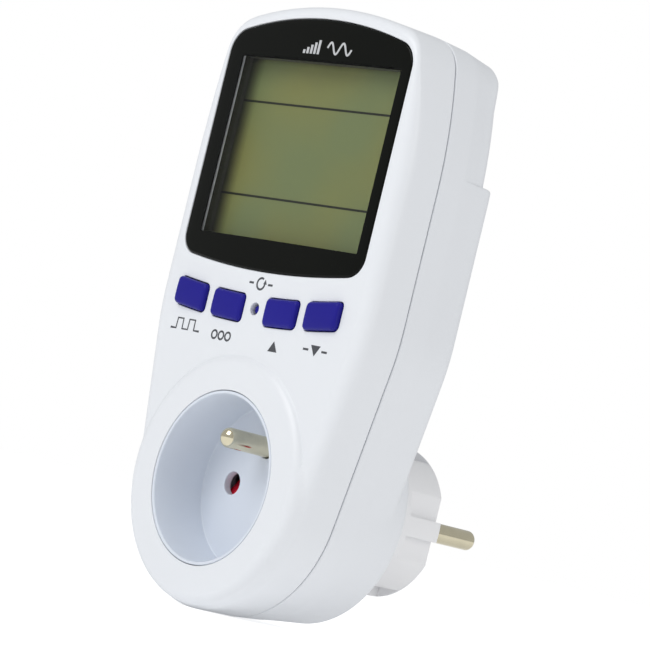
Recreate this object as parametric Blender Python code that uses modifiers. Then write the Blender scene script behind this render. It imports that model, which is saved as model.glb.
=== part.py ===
"""Plug-in power meter: a mains socket with a display, carried on its own two-pin earthed plug.

Front of the meter looks along -Y, the plug pins point along +Y and +Z is up. The origin is the centre
of the plug's contact face. Every number below is in millimetres, and "depth" is the distance behind the
rim plane of the socket. The mesh helpers turn millimetres and depths into metres in the scene.
"""

import math

import bmesh
import bpy
from mathutils import Matrix, Vector

MM = 0.001
OBJECT_NAME = "plug_in_power_meter"

# Standard plug and socket sizes
PIN_RADIUS = 2.4
PIN_SPACING = 19.0
PIN_LENGTH = 19.0
EARTH_HEIGHT = 10.0
RECESS_RADIUS = 19.75
RECESS_DEPTH = 15.0
EARTH_PIN_LENGTH = 14.0
PLUG_RADIUS = 18.5

# Depths of the main planes
FACE_DEPTH = 1.0
PARTING_DEPTH = 14.2
CREASE_DEPTH = 21.8
UPPER_BACK = 31.6
MIDDLE_BACK = 34.4
LOWER_BACK = 38.2
PLUG_FACE = 58.4

# Outline of the body, seen from the front
END_RADIUS = 30.3
TAPER = math.radians(10)
HALF_WIDTH = 37.4
WAIST_RADIUS = 60.0
SHOULDER_HEIGHT = 75.0
SHOULDER_RADIUS = 112.0
CORNER_RADIUS = 10.0
TOP_HEIGHT = 113.3
TOP_RADIUS = 115.0

WALL = 2.0
GAP = 0.3
EDGE_RADIUS = 3.5
BACK_EDGE_RADIUS = 4.0
BACK_INSET = 1.8
STEP_HEIGHT = 79.5
PAD_RADIUS = 28.6
PAD_ROOT = (29.6, 22.5)

# Display window, keys and reset hole
WINDOW_HALF_WIDTH = 32.5
WINDOW_BOTTOM = 49.3
WINDOW_BOTTOM_RADIUS = 211.0
WINDOW_TOP = 110.0
WINDOW_TOP_RADIUS = 110.0
WINDOW_THICKNESS = 1.2
VIEW_HALF_WIDTH = 28.0
VIEW_BOTTOM = 56.8
VIEW_TOP = 99.9
LCD_DEPTH = 6.4
LCD_THICKNESS = 2.5
LCD_FRAME_DEPTH = 3.9
KEY_WIDTH = 11.0
KEY_HEIGHT = 6.6
KEY_CENTRES = {"key_function": -23.7, "key_cost": -9.6, "key_up": 9.6, "key_down": 23.7}
KEY_MIDDLE_HEIGHT = 40.1
KEY_ARCH_RADIUS = 217.0
RESET_HEIGHT = 40.4
KEY_FRONT = 0.05
KEY_BACK = 8.9

# Boards
DISPLAY_BOARD_DEPTH = 10.6
POWER_BOARD_DEPTH = 27.3
DISPLAY_BOARD_THICKNESS = 1.2
POWER_BOARD_THICKNESS = 1.6
DISPLAY_POSTS = [(-20.0, 50.0), (20.0, 50.0), (-20.0, 32.2), (20.0, 32.2)]
POWER_POSTS = [(-22.0, 36.5), (22.0, 36.5)]
WELL_FLOOR = 20.5
CASE_SCREWS = [(-14.0, 105.2), (14.0, 105.2), (-25.5, 24.0), (25.5, 24.0)]

ROUND_SEGMENTS = 48
PIN_SEGMENTS = 20
SCREW_SEGMENTS = 14
LONG_CHAINS = ("front_shell", "rear_shell")

COLOURS = {
    "case_white": ((0.82, 0.84, 0.87), 0.38, 0.0),
    "insert_white": ((0.72, 0.75, 0.82), 0.42, 0.0),
    "plug_white": ((0.83, 0.82, 0.83), 0.42, 0.0),
    "window_black": ((0.008, 0.009, 0.008), 0.08, 0.0),
    "lcd_glass": ((0.16, 0.20, 0.10), 0.2, 0.0),
    "key_blue": ((0.025, 0.018, 0.24), 0.5, 0.0),
    "shutter_red": ((0.55, 0.01, 0.03), 0.45, 0.0),
    "nickel": ((0.72, 0.69, 0.60), 0.25, 1.0),
    "contact_brass": ((0.78, 0.57, 0.26), 0.32, 1.0),
    "copper": ((0.85, 0.42, 0.26), 0.35, 1.0),
    "steel": ((0.56, 0.56, 0.55), 0.35, 1.0),
    "board_green": ((0.02, 0.16, 0.06), 0.45, 0.0),
    "carrier_grey": ((0.30, 0.31, 0.33), 0.5, 0.0),
    "black_plastic": ((0.02, 0.02, 0.022), 0.5, 0.0),
    "carbon": ((0.015, 0.015, 0.015), 0.8, 0.0),
    "strip_pink": ((0.62, 0.36, 0.38), 0.7, 0.0),
    "film_yellow": ((0.75, 0.52, 0.05), 0.4, 0.0),
    "sleeve_blue": ((0.03, 0.08, 0.28), 0.4, 0.0),
    "battery_green": ((0.05, 0.30, 0.10), 0.4, 0.0),
    "resistor_body": ((0.42, 0.50, 0.55), 0.6, 0.0),
    "wire_brown": ((0.16, 0.06, 0.02), 0.5, 0.0),
    "wire_blue": ((0.02, 0.08, 0.35), 0.5, 0.0),
    "ribbon_grey": ((0.50, 0.51, 0.52), 0.6, 0.0),
}


# ---------------------------------------------------------------- scene helpers


def clear_scene():
    for obj in list(bpy.data.objects):
        bpy.data.objects.remove(obj, do_unlink=True)


def new_collection(name):
    collection = bpy.data.collections.new(name)
    bpy.context.scene.collection.children.link(collection)
    return collection


def new_material(name):
    colour, roughness, metallic = COLOURS[name]
    material = bpy.data.materials.new(name)
    material.use_nodes = True
    shader = material.node_tree.nodes["Principled BSDF"]
    shader.inputs["Base Color"].default_value = (*colour, 1.0)
    shader.inputs["Roughness"].default_value = roughness
    shader.inputs["Metallic"].default_value = metallic
    material.diffuse_color = (*colour, 1.0)
    return material


def scene_y(depth):
    """Y, in metres, of a plane at this depth behind the socket's rim."""
    return (depth - PLUG_FACE) * MM


def point(x, depth, z):
    return Vector((x * MM, scene_y(depth), z * MM))


class Workshop:
    """Puts finished pieces and hidden cutters in their collections."""

    def __init__(self):
        self.parts = new_collection(OBJECT_NAME)
        self.cutters = new_collection("cutters")
        self.materials = {name: new_material(name) for name in COLOURS}
        self.cutters.hide_render = True

    def piece(self, name, mesh, material, origin=None, parent=None):
        """A named piece from a mesh in scene metres, its origin moved to a point where one is given."""
        obj = bpy.data.objects.new(name, mesh)
        mesh.materials.append(self.materials[material])
        mesh.shade_smooth()
        mesh.set_sharp_from_angle(angle=math.radians(35))
        self.parts.objects.link(obj)
        if origin is not None:
            mesh.transform(Matrix.Translation(-origin))
            obj.location = origin
        if parent is not None:
            obj.parent = parent
            obj.matrix_parent_inverse = Matrix.Translation(-parent.location)
        return obj

    def boolean(self, target, mesh, operation="DIFFERENCE"):
        """Cuts a mesh from a piece, or joins it on. The shells' long chains of cuts need the manifold solver."""
        cutter = bpy.data.objects.new(f"{target.name}_{operation.lower()}", mesh)
        self.cutters.objects.link(cutter)
        cutter.hide_render = True
        cutter.display_type = "WIRE"
        modifier = target.modifiers.new(operation.title(), "BOOLEAN")
        modifier.operation = operation
        modifier.object = cutter
        modifier.solver = "MANIFOLD" if target.name in LONG_CHAINS else "EXACT"

    def cut(self, target, mesh):
        self.boolean(target, mesh)

    def join(self, target, mesh):
        self.boolean(target, mesh, "UNION")


# ---------------------------------------------------------------- mesh helpers


def mesh_from(bm, name="shape"):
    bmesh.ops.recalc_face_normals(bm, faces=bm.faces)
    mesh = bpy.data.meshes.new(name)
    bm.to_mesh(mesh)
    bm.free()
    return mesh


def block(x, depth, z, bevel=0.0):
    """A box from three (low, high) pairs, with its edges rounded where a bevel is given."""
    bm = bmesh.new()
    bmesh.ops.create_cube(bm, size=1.0)
    low, high = point(x[0], depth[0], z[0]), point(x[1], depth[1], z[1])
    bmesh.ops.scale(bm, vec=high - low, verts=bm.verts)
    bmesh.ops.translate(bm, vec=(low + high) / 2, verts=bm.verts)
    if bevel:
        bmesh.ops.bevel(bm, geom=bm.edges[:], offset=bevel * MM, segments=2, profile=0.5, affect="EDGES")
    return mesh_from(bm)


def rod(x, depth, z, radius, segments=PIN_SEGMENTS):
    """A round bar along Y between two depths."""
    bm = bmesh.new()
    length = (depth[1] - depth[0]) * MM
    bmesh.ops.create_cone(
        bm, cap_ends=True, segments=segments, radius1=radius * MM, radius2=radius * MM, depth=length
    )
    bmesh.ops.rotate(bm, matrix=Matrix.Rotation(math.radians(-90), 3, "X"), verts=bm.verts)
    bmesh.ops.translate(bm, vec=point(x, (depth[0] + depth[1]) / 2, z), verts=bm.verts)
    return mesh_from(bm)


def lying_rod(centre, axis, length, radius, segments=PIN_SEGMENTS):
    """A round bar along X or Z about its centre."""
    bm = bmesh.new()
    bmesh.ops.create_cone(
        bm, cap_ends=True, segments=segments, radius1=radius * MM, radius2=radius * MM, depth=length * MM
    )
    if axis == "X":
        bmesh.ops.rotate(bm, matrix=Matrix.Rotation(math.radians(90), 3, "Y"), verts=bm.verts)
    bmesh.ops.translate(bm, vec=point(*centre), verts=bm.verts)
    return mesh_from(bm)


def turned(profile, centre=(0.0, 0.0), segments=ROUND_SEGMENTS):
    """A shape turned about a line along Y through (x, z), from a closed or axis-to-axis (radius, depth) profile.

    The Screw modifier works about local Z, which the object's turn lays along Y, and the result is kept
    as a mesh in scene metres.
    """
    bm = bmesh.new()
    verts = [bm.verts.new((radius * MM, 0.0, scene_y(depth))) for radius, depth in profile]
    for start, end in zip(verts, verts[1:]):
        bm.edges.new((start, end))
    if profile[0][0] > 0.0 and profile[-1][0] > 0.0:
        bm.edges.new((verts[-1], verts[0]))
    source = bpy.data.meshes.new("profile")
    bm.to_mesh(source)
    bm.free()
    obj = bpy.data.objects.new("profile", source)
    bpy.context.scene.collection.objects.link(obj)
    screw = obj.modifiers.new("Turn", "SCREW")
    screw.steps = segments
    screw.render_steps = segments
    screw.use_merge_vertices = True
    screw.merge_threshold = 1e-5
    obj.rotation_euler = (math.radians(-90), 0.0, 0.0)
    obj.location = (centre[0] * MM, 0.0, centre[1] * MM)
    return realised(obj)


def realised(obj):
    """The evaluated mesh of a helper object, welded and placed in scene metres. The object is removed."""
    bpy.context.view_layer.update()
    graph = bpy.context.evaluated_depsgraph_get()
    mesh = bpy.data.meshes.new_from_object(obj.evaluated_get(graph))
    mesh.transform(obj.matrix_world)
    bpy.data.objects.remove(obj, do_unlink=True)
    bm = bmesh.new()
    bm.from_mesh(mesh)
    bmesh.ops.remove_doubles(bm, verts=bm.verts, dist=1e-6)
    bmesh.ops.recalc_face_normals(bm, faces=bm.faces)
    bm.to_mesh(mesh)
    bm.free()
    return mesh


def curve_object(points, cyclic):
    curve = bpy.data.curves.new("outline", "CURVE")
    spline = curve.splines.new("POLY")
    spline.points.add(len(points) - 1)
    for target, source in zip(spline.points, points):
        target.co = (*source, 1.0)
    spline.use_cyclic_u = cyclic
    obj = bpy.data.objects.new("outline", curve)
    bpy.context.scene.collection.objects.link(obj)
    return obj


def plate(outline, depth):
    """A flat (x, z) outline filled and extruded along Y between two depths."""
    obj = curve_object([(x * MM, z * MM, 0.0) for x, z in outline], cyclic=True)
    obj.data.dimensions = "2D"
    obj.data.fill_mode = "BOTH"
    obj.data.extrude = (depth[1] - depth[0]) * MM / 2
    obj.rotation_euler = (math.radians(90), 0.0, 0.0)
    obj.location = (0.0, scene_y((depth[0] + depth[1]) / 2), 0.0)
    return realised(obj)


def wedge(outline, x):
    """A closed (depth, z) outline extruded along X between two values."""
    obj = curve_object([(scene_y(depth), z * MM, 0.0) for depth, z in outline], cyclic=True)
    obj.data.dimensions = "2D"
    obj.data.fill_mode = "BOTH"
    obj.data.extrude = (x[1] - x[0]) * MM / 2
    obj.matrix_world = Matrix(
        ((0, 0, 1, (x[0] + x[1]) / 2 * MM), (1, 0, 0, 0), (0, 1, 0, 0), (0, 0, 0, 1))
    )
    return realised(obj)


def strip(path, thickness, x):
    """A bent flat strip: a (depth, z) path thickened to both sides and extruded along X between two values."""
    left, right = [], []
    for i, (depth, z) in enumerate(path):
        before = path[max(i - 1, 0)]
        after = path[min(i + 1, len(path) - 1)]
        first = Vector((depth - before[0], z - before[1]))
        second = Vector((after[0] - depth, after[1] - z))
        first = first.normalized() if first.length else second.normalized()
        second = second.normalized() if second.length else first
        mean = (first + second).normalized()
        reach = thickness / 2 / max(mean.dot(first), 0.3)
        normal = Vector((-mean.y, mean.x)) * reach
        left.append((depth + normal.x, z + normal.y))
        right.append((depth - normal.x, z - normal.y))
    return wedge(left + right[::-1], x)


def tube(points, radius, resolution=2):
    """A round wire along (x, depth, z) points, with its ends filled."""
    obj = curve_object([point(*p) for p in points], cyclic=False)
    obj.data.dimensions = "3D"
    obj.data.bevel_depth = radius * MM
    obj.data.bevel_resolution = resolution
    obj.data.use_fill_caps = True
    return realised(obj)


def smooth_path(knots, spacing):
    """Points about one spacing apart on the Catmull-Rom curve through the knots."""
    knots = [Vector(k) for k in knots]
    padded = [2 * knots[0] - knots[1], *knots, 2 * knots[-1] - knots[-2]]
    path = [knots[0]]
    for a, b, c, d in zip(padded, padded[1:], padded[2:], padded[3:]):
        steps = max(1, round((c - b).length / spacing))
        for i in range(1, steps + 1):
            t = i / steps
            place = b * 2 + (c - a) * t + (a * 2 - b * 5 + c * 4 - d) * t**2 + (b * 3 - a - c * 3 + d) * t**3
            path.append(place / 2)
    return path


def loft(rings):
    """A closed solid through (outline, depth) rings with the same number of points, capped at both ends."""
    bm = bmesh.new()
    loops = [[bm.verts.new(point(x, depth, z)) for x, z in outline] for outline, depth in rings]
    count = len(loops[0])
    for lower, upper in zip(loops, loops[1:]):
        for i in range(count):
            j = (i + 1) % count
            bm.faces.new((lower[i], lower[j], upper[j], upper[i]))
    bm.faces.new(loops[0])
    bm.faces.new(loops[-1])
    return mesh_from(bm)


# ---------------------------------------------------------------- outlines


def arc_points(centre, radius, start, end, steps):
    """Points on an arc in the XZ plane, angles from +X towards +Z."""
    return [
        (
            centre[0] + radius * math.cos(start + (end - start) * i / steps),
            centre[1] + radius * math.sin(start + (end - start) * i / steps),
        )
        for i in range(steps + 1)
    ]


def mirrored(right_half):
    """A closed outline from its right half, which runs from the bottom to the top on the middle plane."""
    return right_half + [(-x, z) for x, z in reversed(right_half[1:-1])]


def meeting_point(a, from_a, b, from_b):
    """The right-hand point at one distance from a and another distance from b."""
    a, b = Vector(a), Vector(b)
    apart = (b - a).length
    along = (from_a**2 - from_b**2 + apart**2) / (2 * apart)
    aside = math.sqrt(from_a**2 - along**2)
    unit = (b - a) / apart
    normal = Vector((-unit.y, unit.x))
    return max((a + unit * along + normal * side for side in (aside, -aside)), key=lambda p: p.x)


def angle_of(centre, place):
    return math.atan2(place[1] - centre[1], place[0] - centre[0])


def body_outline(inset=0.0):
    """The body seen from the front: round end, straight taper, sides, shoulders, corners and arched top.

    Neighbouring arcs share a tangent, so an inset only takes the same amount off every radius.
    """
    waist_x = HALF_WIDTH - WAIST_RADIUS
    waist = (waist_x, (waist_x * math.cos(TAPER) - END_RADIUS + WAIST_RADIUS) / math.sin(TAPER))
    shoulder = (HALF_WIDTH - SHOULDER_RADIUS, SHOULDER_HEIGHT)
    top = (0.0, TOP_HEIGHT - TOP_RADIUS)
    corner = meeting_point(shoulder, SHOULDER_RADIUS - CORNER_RADIUS, top, TOP_RADIUS - CORNER_RADIUS)
    into_corner = angle_of(shoulder, corner)
    out_of_corner = angle_of(top, corner)
    right = arc_points((0.0, 0.0), END_RADIUS - inset, -math.pi / 2, -TAPER, 10)
    right += arc_points(waist, WAIST_RADIUS - inset, -TAPER, 0.0, 2)
    right += arc_points(shoulder, SHOULDER_RADIUS - inset, 0.0, into_corner, 3)
    right += arc_points(corner, CORNER_RADIUS - inset, into_corner, out_of_corner, 5)[1:]
    right += arc_points(top, TOP_RADIUS - inset, out_of_corner, math.pi / 2, 3)[1:]
    return mirrored(right)


def window_outline(grow=0.0):
    """The display window: upright sides, a bottom edge bowed down, an arched top and round corners."""
    bottom_corner, top_corner = 5.0, 6.0
    bottom = (0.0, WINDOW_BOTTOM + WINDOW_BOTTOM_RADIUS)
    top = (0.0, WINDOW_TOP - WINDOW_TOP_RADIUS)
    low_x = WINDOW_HALF_WIDTH - bottom_corner
    low = (low_x, bottom[1] - math.sqrt((WINDOW_BOTTOM_RADIUS - bottom_corner) ** 2 - low_x**2))
    high_x = WINDOW_HALF_WIDTH - top_corner
    high = (high_x, top[1] + math.sqrt((WINDOW_TOP_RADIUS - top_corner) ** 2 - high_x**2))
    into_low = angle_of(bottom, low)
    out_of_high = angle_of(top, high)
    right = arc_points(bottom, WINDOW_BOTTOM_RADIUS + grow, -math.pi / 2, into_low, 4)
    right += arc_points(low, bottom_corner + grow, into_low, 0.0, 4)[1:]
    right += arc_points(high, top_corner + grow, 0.0, out_of_high, 4)
    right += arc_points(top, WINDOW_TOP_RADIUS + grow, out_of_high, math.pi / 2, 5)[1:]
    return mirrored(right)


def key_outline(centre, grow=0.0):
    """A round-cornered rectangle bent to the arch on which the keys stand."""
    corner, steps = 1.1, 3
    half_width, half_height = KEY_WIDTH / 2, KEY_HEIGHT / 2
    outline = []
    for turn, (side, level) in enumerate(((1, 1), (-1, 1), (-1, -1), (1, -1))):
        middle = (side * (half_width - corner), level * (half_height - corner))
        start = turn * math.pi / 2
        outline += arc_points(middle, corner + grow, start, start + math.pi / 2, steps)
    arch = 2 * KEY_ARCH_RADIUS
    return [(centre + x, KEY_MIDDLE_HEIGHT + z + (centre + x) ** 2 / arch) for x, z in outline]


def circle_outline(centre, radius, segments=PIN_SEGMENTS):
    return arc_points(centre, radius, 0.0, math.tau * (segments - 1) / segments, segments - 1)


# ---------------------------------------------------------------- case


def front_shell(shop):
    """The front half of the case: face, side wall, socket ring and the bosses inside."""
    rounding = [
        (EDGE_RADIUS * (1 - math.sin(turn)), FACE_DEPTH + EDGE_RADIUS * (1 - math.cos(turn)))
        for turn in (math.radians(a) for a in (0, 30, 60, 90))
    ]
    rings = [(body_outline(inset), depth) for inset, depth in rounding]
    rings.append((body_outline(), PARTING_DEPTH))
    shell = shop.piece("front_shell", loft(rings), "case_white")
    ring_radius, ring_rounding = 29.8, 3.0
    ring = [(RECESS_RADIUS, 3.4), (RECESS_RADIUS, 0.0)]
    ring += [
        (
            ring_radius - ring_rounding * (1 - math.sin(math.radians(a))),
            ring_rounding * (1 - math.cos(math.radians(a))),
        )
        for a in (0, 30, 60, 90)
    ]
    ring.append((ring_radius, 3.4))
    shop.join(shell, turned(ring[::-1]))
    cavity_front = FACE_DEPTH + WALL
    lip_end = PARTING_DEPTH + 1.5
    shop.cut(shell, loft([(body_outline(WALL + 1.0), cavity_front), (body_outline(WALL), cavity_front + 1.0),
                          (body_outline(WALL), lip_end + 2.0)]))
    lip = turned_band(body_outline(1.2), body_outline(WALL), (PARTING_DEPTH - 1.0, lip_end))
    shop.join(shell, lip)
    for x, z in CASE_SCREWS:
        shop.join(shell, rod(x, (cavity_front - 0.5, PARTING_DEPTH), z, 2.6, SCREW_SEGMENTS))
        shop.cut(shell, rod(x, (PARTING_DEPTH - 9.0, PARTING_DEPTH + 1.0), z, 1.25, SCREW_SEGMENTS))
    for x, z in DISPLAY_POSTS:
        shop.join(shell, rod(x, (cavity_front - 0.5, DISPLAY_BOARD_DEPTH - GAP), z, 2.0, SCREW_SEGMENTS))
        shop.cut(shell, rod(x, (cavity_front + 1.5, DISPLAY_BOARD_DEPTH), z, 1.25, SCREW_SEGMENTS))
    shop.cut(shell, rod(0.0, (-1.0, 12.0), 0.0, RECESS_RADIUS + 1.1, ROUND_SEGMENTS))
    shop.cut(shell, plate(window_outline(GAP), (FACE_DEPTH - 1.0, FACE_DEPTH + 1.5)))
    view_half = VIEW_HALF_WIDTH + GAP
    shop.cut(shell, block((-view_half, view_half), (0.0, 4.0), (VIEW_BOTTOM - GAP, VIEW_TOP + GAP)))
    for centre in KEY_CENTRES.values():
        shop.cut(shell, plate(key_outline(centre, GAP), (-1.0, 6.0)))
    shop.cut(shell, rod(0.0, (-1.0, 6.0), RESET_HEIGHT, 1.5))
    return shell


def turned_band(outer, inner, depth):
    """A band between two outlines with the same number of points, extruded along Y."""
    bm = bmesh.new()
    loops = [
        [bm.verts.new(point(x, at, z)) for x, z in outline]
        for outline, at in ((outer, depth[0]), (outer, depth[1]), (inner, depth[1]), (inner, depth[0]))
    ]
    count = len(outer)
    for a, b in zip(loops, loops[1:] + loops[:1]):
        for i in range(count):
            j = (i + 1) % count
            bm.faces.new((a[i], a[j], b[j], b[i]))
    return mesh_from(bm)


def back_rings(shrink, start, back):
    """Rings of the rear half: a slight draft, a soft crease, more draft, then the rounded back edge."""
    edge = BACK_EDGE_RADIUS - shrink
    rings = [(0.0, start), (0.45, CREASE_DEPTH), (BACK_INSET, back - edge)]
    rings += [
        (BACK_INSET + edge * (1 - math.cos(math.radians(a))), back - edge * (1 - math.sin(math.radians(a))))
        for a in (30, 60, 90)
    ]
    return [(body_outline(inset + shrink), depth) for inset, depth in rings]


def rear_shell(shop):
    """The rear half of the case: side wall, stepped back, round plug pad and the screw wells."""
    start = PARTING_DEPTH + GAP
    shell = shop.piece("rear_shell", loft(back_rings(0.0, start, MIDDLE_BACK)), "case_white")
    edge = BACK_EDGE_RADIUS - 1.0
    pad = [(0.0, LOWER_BACK), (PAD_RADIUS - edge, LOWER_BACK)]
    pad += [
        (
            PAD_RADIUS - edge * (1 - math.sin(math.radians(a))),
            LOWER_BACK - edge * (1 - math.cos(math.radians(a))),
        )
        for a in (30, 60, 90)
    ]
    pad += [PAD_ROOT, (0.0, PAD_ROOT[1])]
    shop.join(shell, turned(pad[::-1]))
    shop.cut(shell, block((-45.0, 45.0), (UPPER_BACK, 50.0), (STEP_HEIGHT, 130.0)))
    shop.cut(shell, loft(back_rings(WALL, start - 1.0, UPPER_BACK - WALL)))
    lower_hollow = levelled(body_outline(WALL + BACK_INSET), STEP_HEIGHT - WALL)
    shop.cut(shell, plate(lower_hollow, (24.0, MIDDLE_BACK - WALL)))
    shop.cut(shell, rod(0.0, (24.0, LOWER_BACK - WALL), 0.0, PAD_RADIUS - WALL, ROUND_SEGMENTS))
    shop.cut(shell, turned_band(body_outline(0.9), body_outline(WALL + 0.5), (start - 1.0, start + 1.6)))
    for x, z in CASE_SCREWS:
        floor = UPPER_BACK if z > STEP_HEIGHT else MIDDLE_BACK
        shop.join(shell, rod(x, (start, floor - 1.0), z, 3.4, SCREW_SEGMENTS))
        shop.cut(shell, rod(x, (PARTING_DEPTH - 1.0, floor + 1.0), z, 1.6, SCREW_SEGMENTS))
        shop.cut(shell, rod(x, (WELL_FLOOR, floor + 1.0), z, 2.7, SCREW_SEGMENTS))
    for x, z in POWER_POSTS:
        board_back = POWER_BOARD_DEPTH + POWER_BOARD_THICKNESS
        shop.join(shell, rod(x, (board_back + GAP, MIDDLE_BACK - 1.0), z, 2.2, SCREW_SEGMENTS))
        shop.cut(shell, rod(x, (board_back, MIDDLE_BACK - 1.0), z, 1.25, SCREW_SEGMENTS))
    shop.cut(shell, rod(0.0, (30.0, 50.0), 0.0, PLUG_RADIUS + GAP, ROUND_SEGMENTS))
    return shell


def levelled(outline, top):
    """An outline pressed flat where it would stand above a level."""
    return [(x, min(z, top)) for x, z in outline]


def case_screws(shop):
    """The four screws that go in from the back, deep in their wells."""
    for i, (x, z) in enumerate(CASE_SCREWS):
        seat = WELL_FLOOR + GAP
        screw(shop, f"case_screw_{i + 1}", (x, z), seat, 2.4, 0.95, PARTING_DEPTH - 8.0)


def screw(shop, name, centre, seat, head_radius, shank_radius, tip, cross=True):
    """A pan-head screw whose head looks back: turned head and shank, and a cross cut where it can be seen."""
    head = 1.6
    top = seat + head
    profile = [
        (0.0, top),
        (head_radius * 0.6, top),
        (head_radius, top - head * 0.5),
        (head_radius, seat),
        (shank_radius, seat),
        (shank_radius, tip + 1.0),
        (0.0, tip),
    ]
    obj = shop.piece(name, turned(profile[::-1], centre, SCREW_SEGMENTS), "steel")
    x, z = centre
    for half_x, half_z in ((0.3, 1.2), (1.2, 0.3)) if cross else ():
        shop.cut(obj, block((x - half_x, x + half_x), (top - 0.8, top + 1.0), (z - half_z, z + half_z)))
    return obj


# ---------------------------------------------------------------- display


def display(shop):
    """Window, liquid crystal panel in its frame, contact strips and the display board with its chips."""
    pane = plate(window_outline(), (FACE_DEPTH, FACE_DEPTH + WINDOW_THICKNESS))
    shop.piece("display_window", pane, "window_black")
    lcd_back = LCD_DEPTH + LCD_THICKNESS
    lcd = block((-29.6, 29.6), (LCD_DEPTH, lcd_back), (55.0, 101.0))
    shop.piece("lcd_panel", lcd, "lcd_glass")
    frame_back = DISPLAY_BOARD_DEPTH - GAP
    surround = block((-31.0, 31.0), (LCD_FRAME_DEPTH, frame_back), (53.6, 102.0), 0.3)
    frame = shop.piece("lcd_frame", surround, "carrier_grey")
    shop.cut(frame, block((-29.9, 29.9), (LCD_DEPTH - GAP, 20.0), (54.7, 101.3)))
    view_half = VIEW_HALF_WIDTH + 0.4
    shop.cut(frame, block((-view_half, view_half), (0.0, LCD_DEPTH), (VIEW_BOTTOM - 0.3, VIEW_TOP + 0.3)))
    for name, low in (("contact_strip_lower", 55.2), ("contact_strip_upper", 98.8)):
        strip_block = block((-28.0, 28.0), (lcd_back + GAP, frame_back), (low, low + 2.0))
        shop.piece(name, strip_block, "strip_pink")
    board_back = DISPLAY_BOARD_DEPTH + DISPLAY_BOARD_THICKNESS
    board = block((-30.5, 30.5), (DISPLAY_BOARD_DEPTH, board_back), (29.5, 102.0))
    board = shop.piece("display_board", board, "board_green")
    for i, (x, z) in enumerate(DISPLAY_POSTS):
        shop.cut(board, rod(x, (DISPLAY_BOARD_DEPTH - 1.0, board_back + 1.0), z, 1.25, SCREW_SEGMENTS))
        tip = DISPLAY_BOARD_DEPTH - 5.0
        screw(shop, f"display_screw_{i + 1}", (x, z), board_back + GAP, 1.9, 0.95, tip, cross=False)
    front = board_back + GAP
    blob = [(0.0, front), (7.0, front), (6.2, front + 0.9), (4.0, front + 1.5), (0.0, front + 1.7)]
    shop.piece("display_chip", turned(blob, (2.0, 84.0), 24), "black_plastic")
    shop.piece("clock_crystal", lying_rod((-14.0, front + 1.5, 84.0), "X", 8.0, 1.5, 16), "nickel")
    shop.piece("backup_battery", lying_rod((0.0, front + 5.8, 41.0), "X", 16.0, 5.8, 28), "battery_green")


def keypad(shop):
    """Four blue keys and the reset nub on their carbon pills, and the rubber mat that carries them."""
    sheet = block((-30.6, 30.6), (KEY_BACK, DISPLAY_BOARD_DEPTH - GAP), (35.0, 47.4), 0.3)
    mat = shop.piece("keypad_mat", sheet, "key_blue")
    for name, centre in KEY_CENTRES.items():
        bm = bmesh.new()
        bm.from_mesh(plate(key_outline(centre), (KEY_FRONT, KEY_BACK)))
        front = scene_y(KEY_FRONT)
        rim = [e for e in bm.edges if all(abs(v.co.y - front) < 1e-7 for v in e.verts) and e.is_manifold]
        rim = [e for e in rim if e.calc_face_angle() > 1.0]
        bmesh.ops.bevel(bm, geom=rim, offset=0.8 * MM, segments=3, profile=0.5, affect="EDGES")
        height = KEY_MIDDLE_HEIGHT + centre**2 / (2 * KEY_ARCH_RADIUS)
        key = shop.piece(name, mesh_from(bm), "key_blue", point(centre, KEY_BACK, height))
        pill(shop, key, centre, height)
        shop.cut(mat, plate(key_outline(centre, 0.6), (8.0, 12.0)))
    nub = [(0.0, 1.9), (0.85, 2.0), (1.15, 2.4), (1.15, 6.0), (2.2, 6.0), (2.2, KEY_BACK), (0.0, KEY_BACK)]
    mesh = turned(nub, (0.0, RESET_HEIGHT), PIN_SEGMENTS)
    reset = shop.piece("key_reset", mesh, "key_blue", point(0.0, KEY_BACK, RESET_HEIGHT))
    pill(shop, reset, 0.0, RESET_HEIGHT)
    shop.cut(mat, rod(0.0, (8.0, 12.0), RESET_HEIGHT, 2.8))


def pill(shop, key, x, z):
    """The carbon pill that closes a key's contact on the board."""
    disc = rod(x, (KEY_BACK + 0.05, KEY_BACK + 0.4), z, 1.9, SCREW_SEGMENTS)
    shop.piece(key.name + "_pill", disc, "carbon", parent=key)


# ---------------------------------------------------------------- socket and plug


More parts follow.
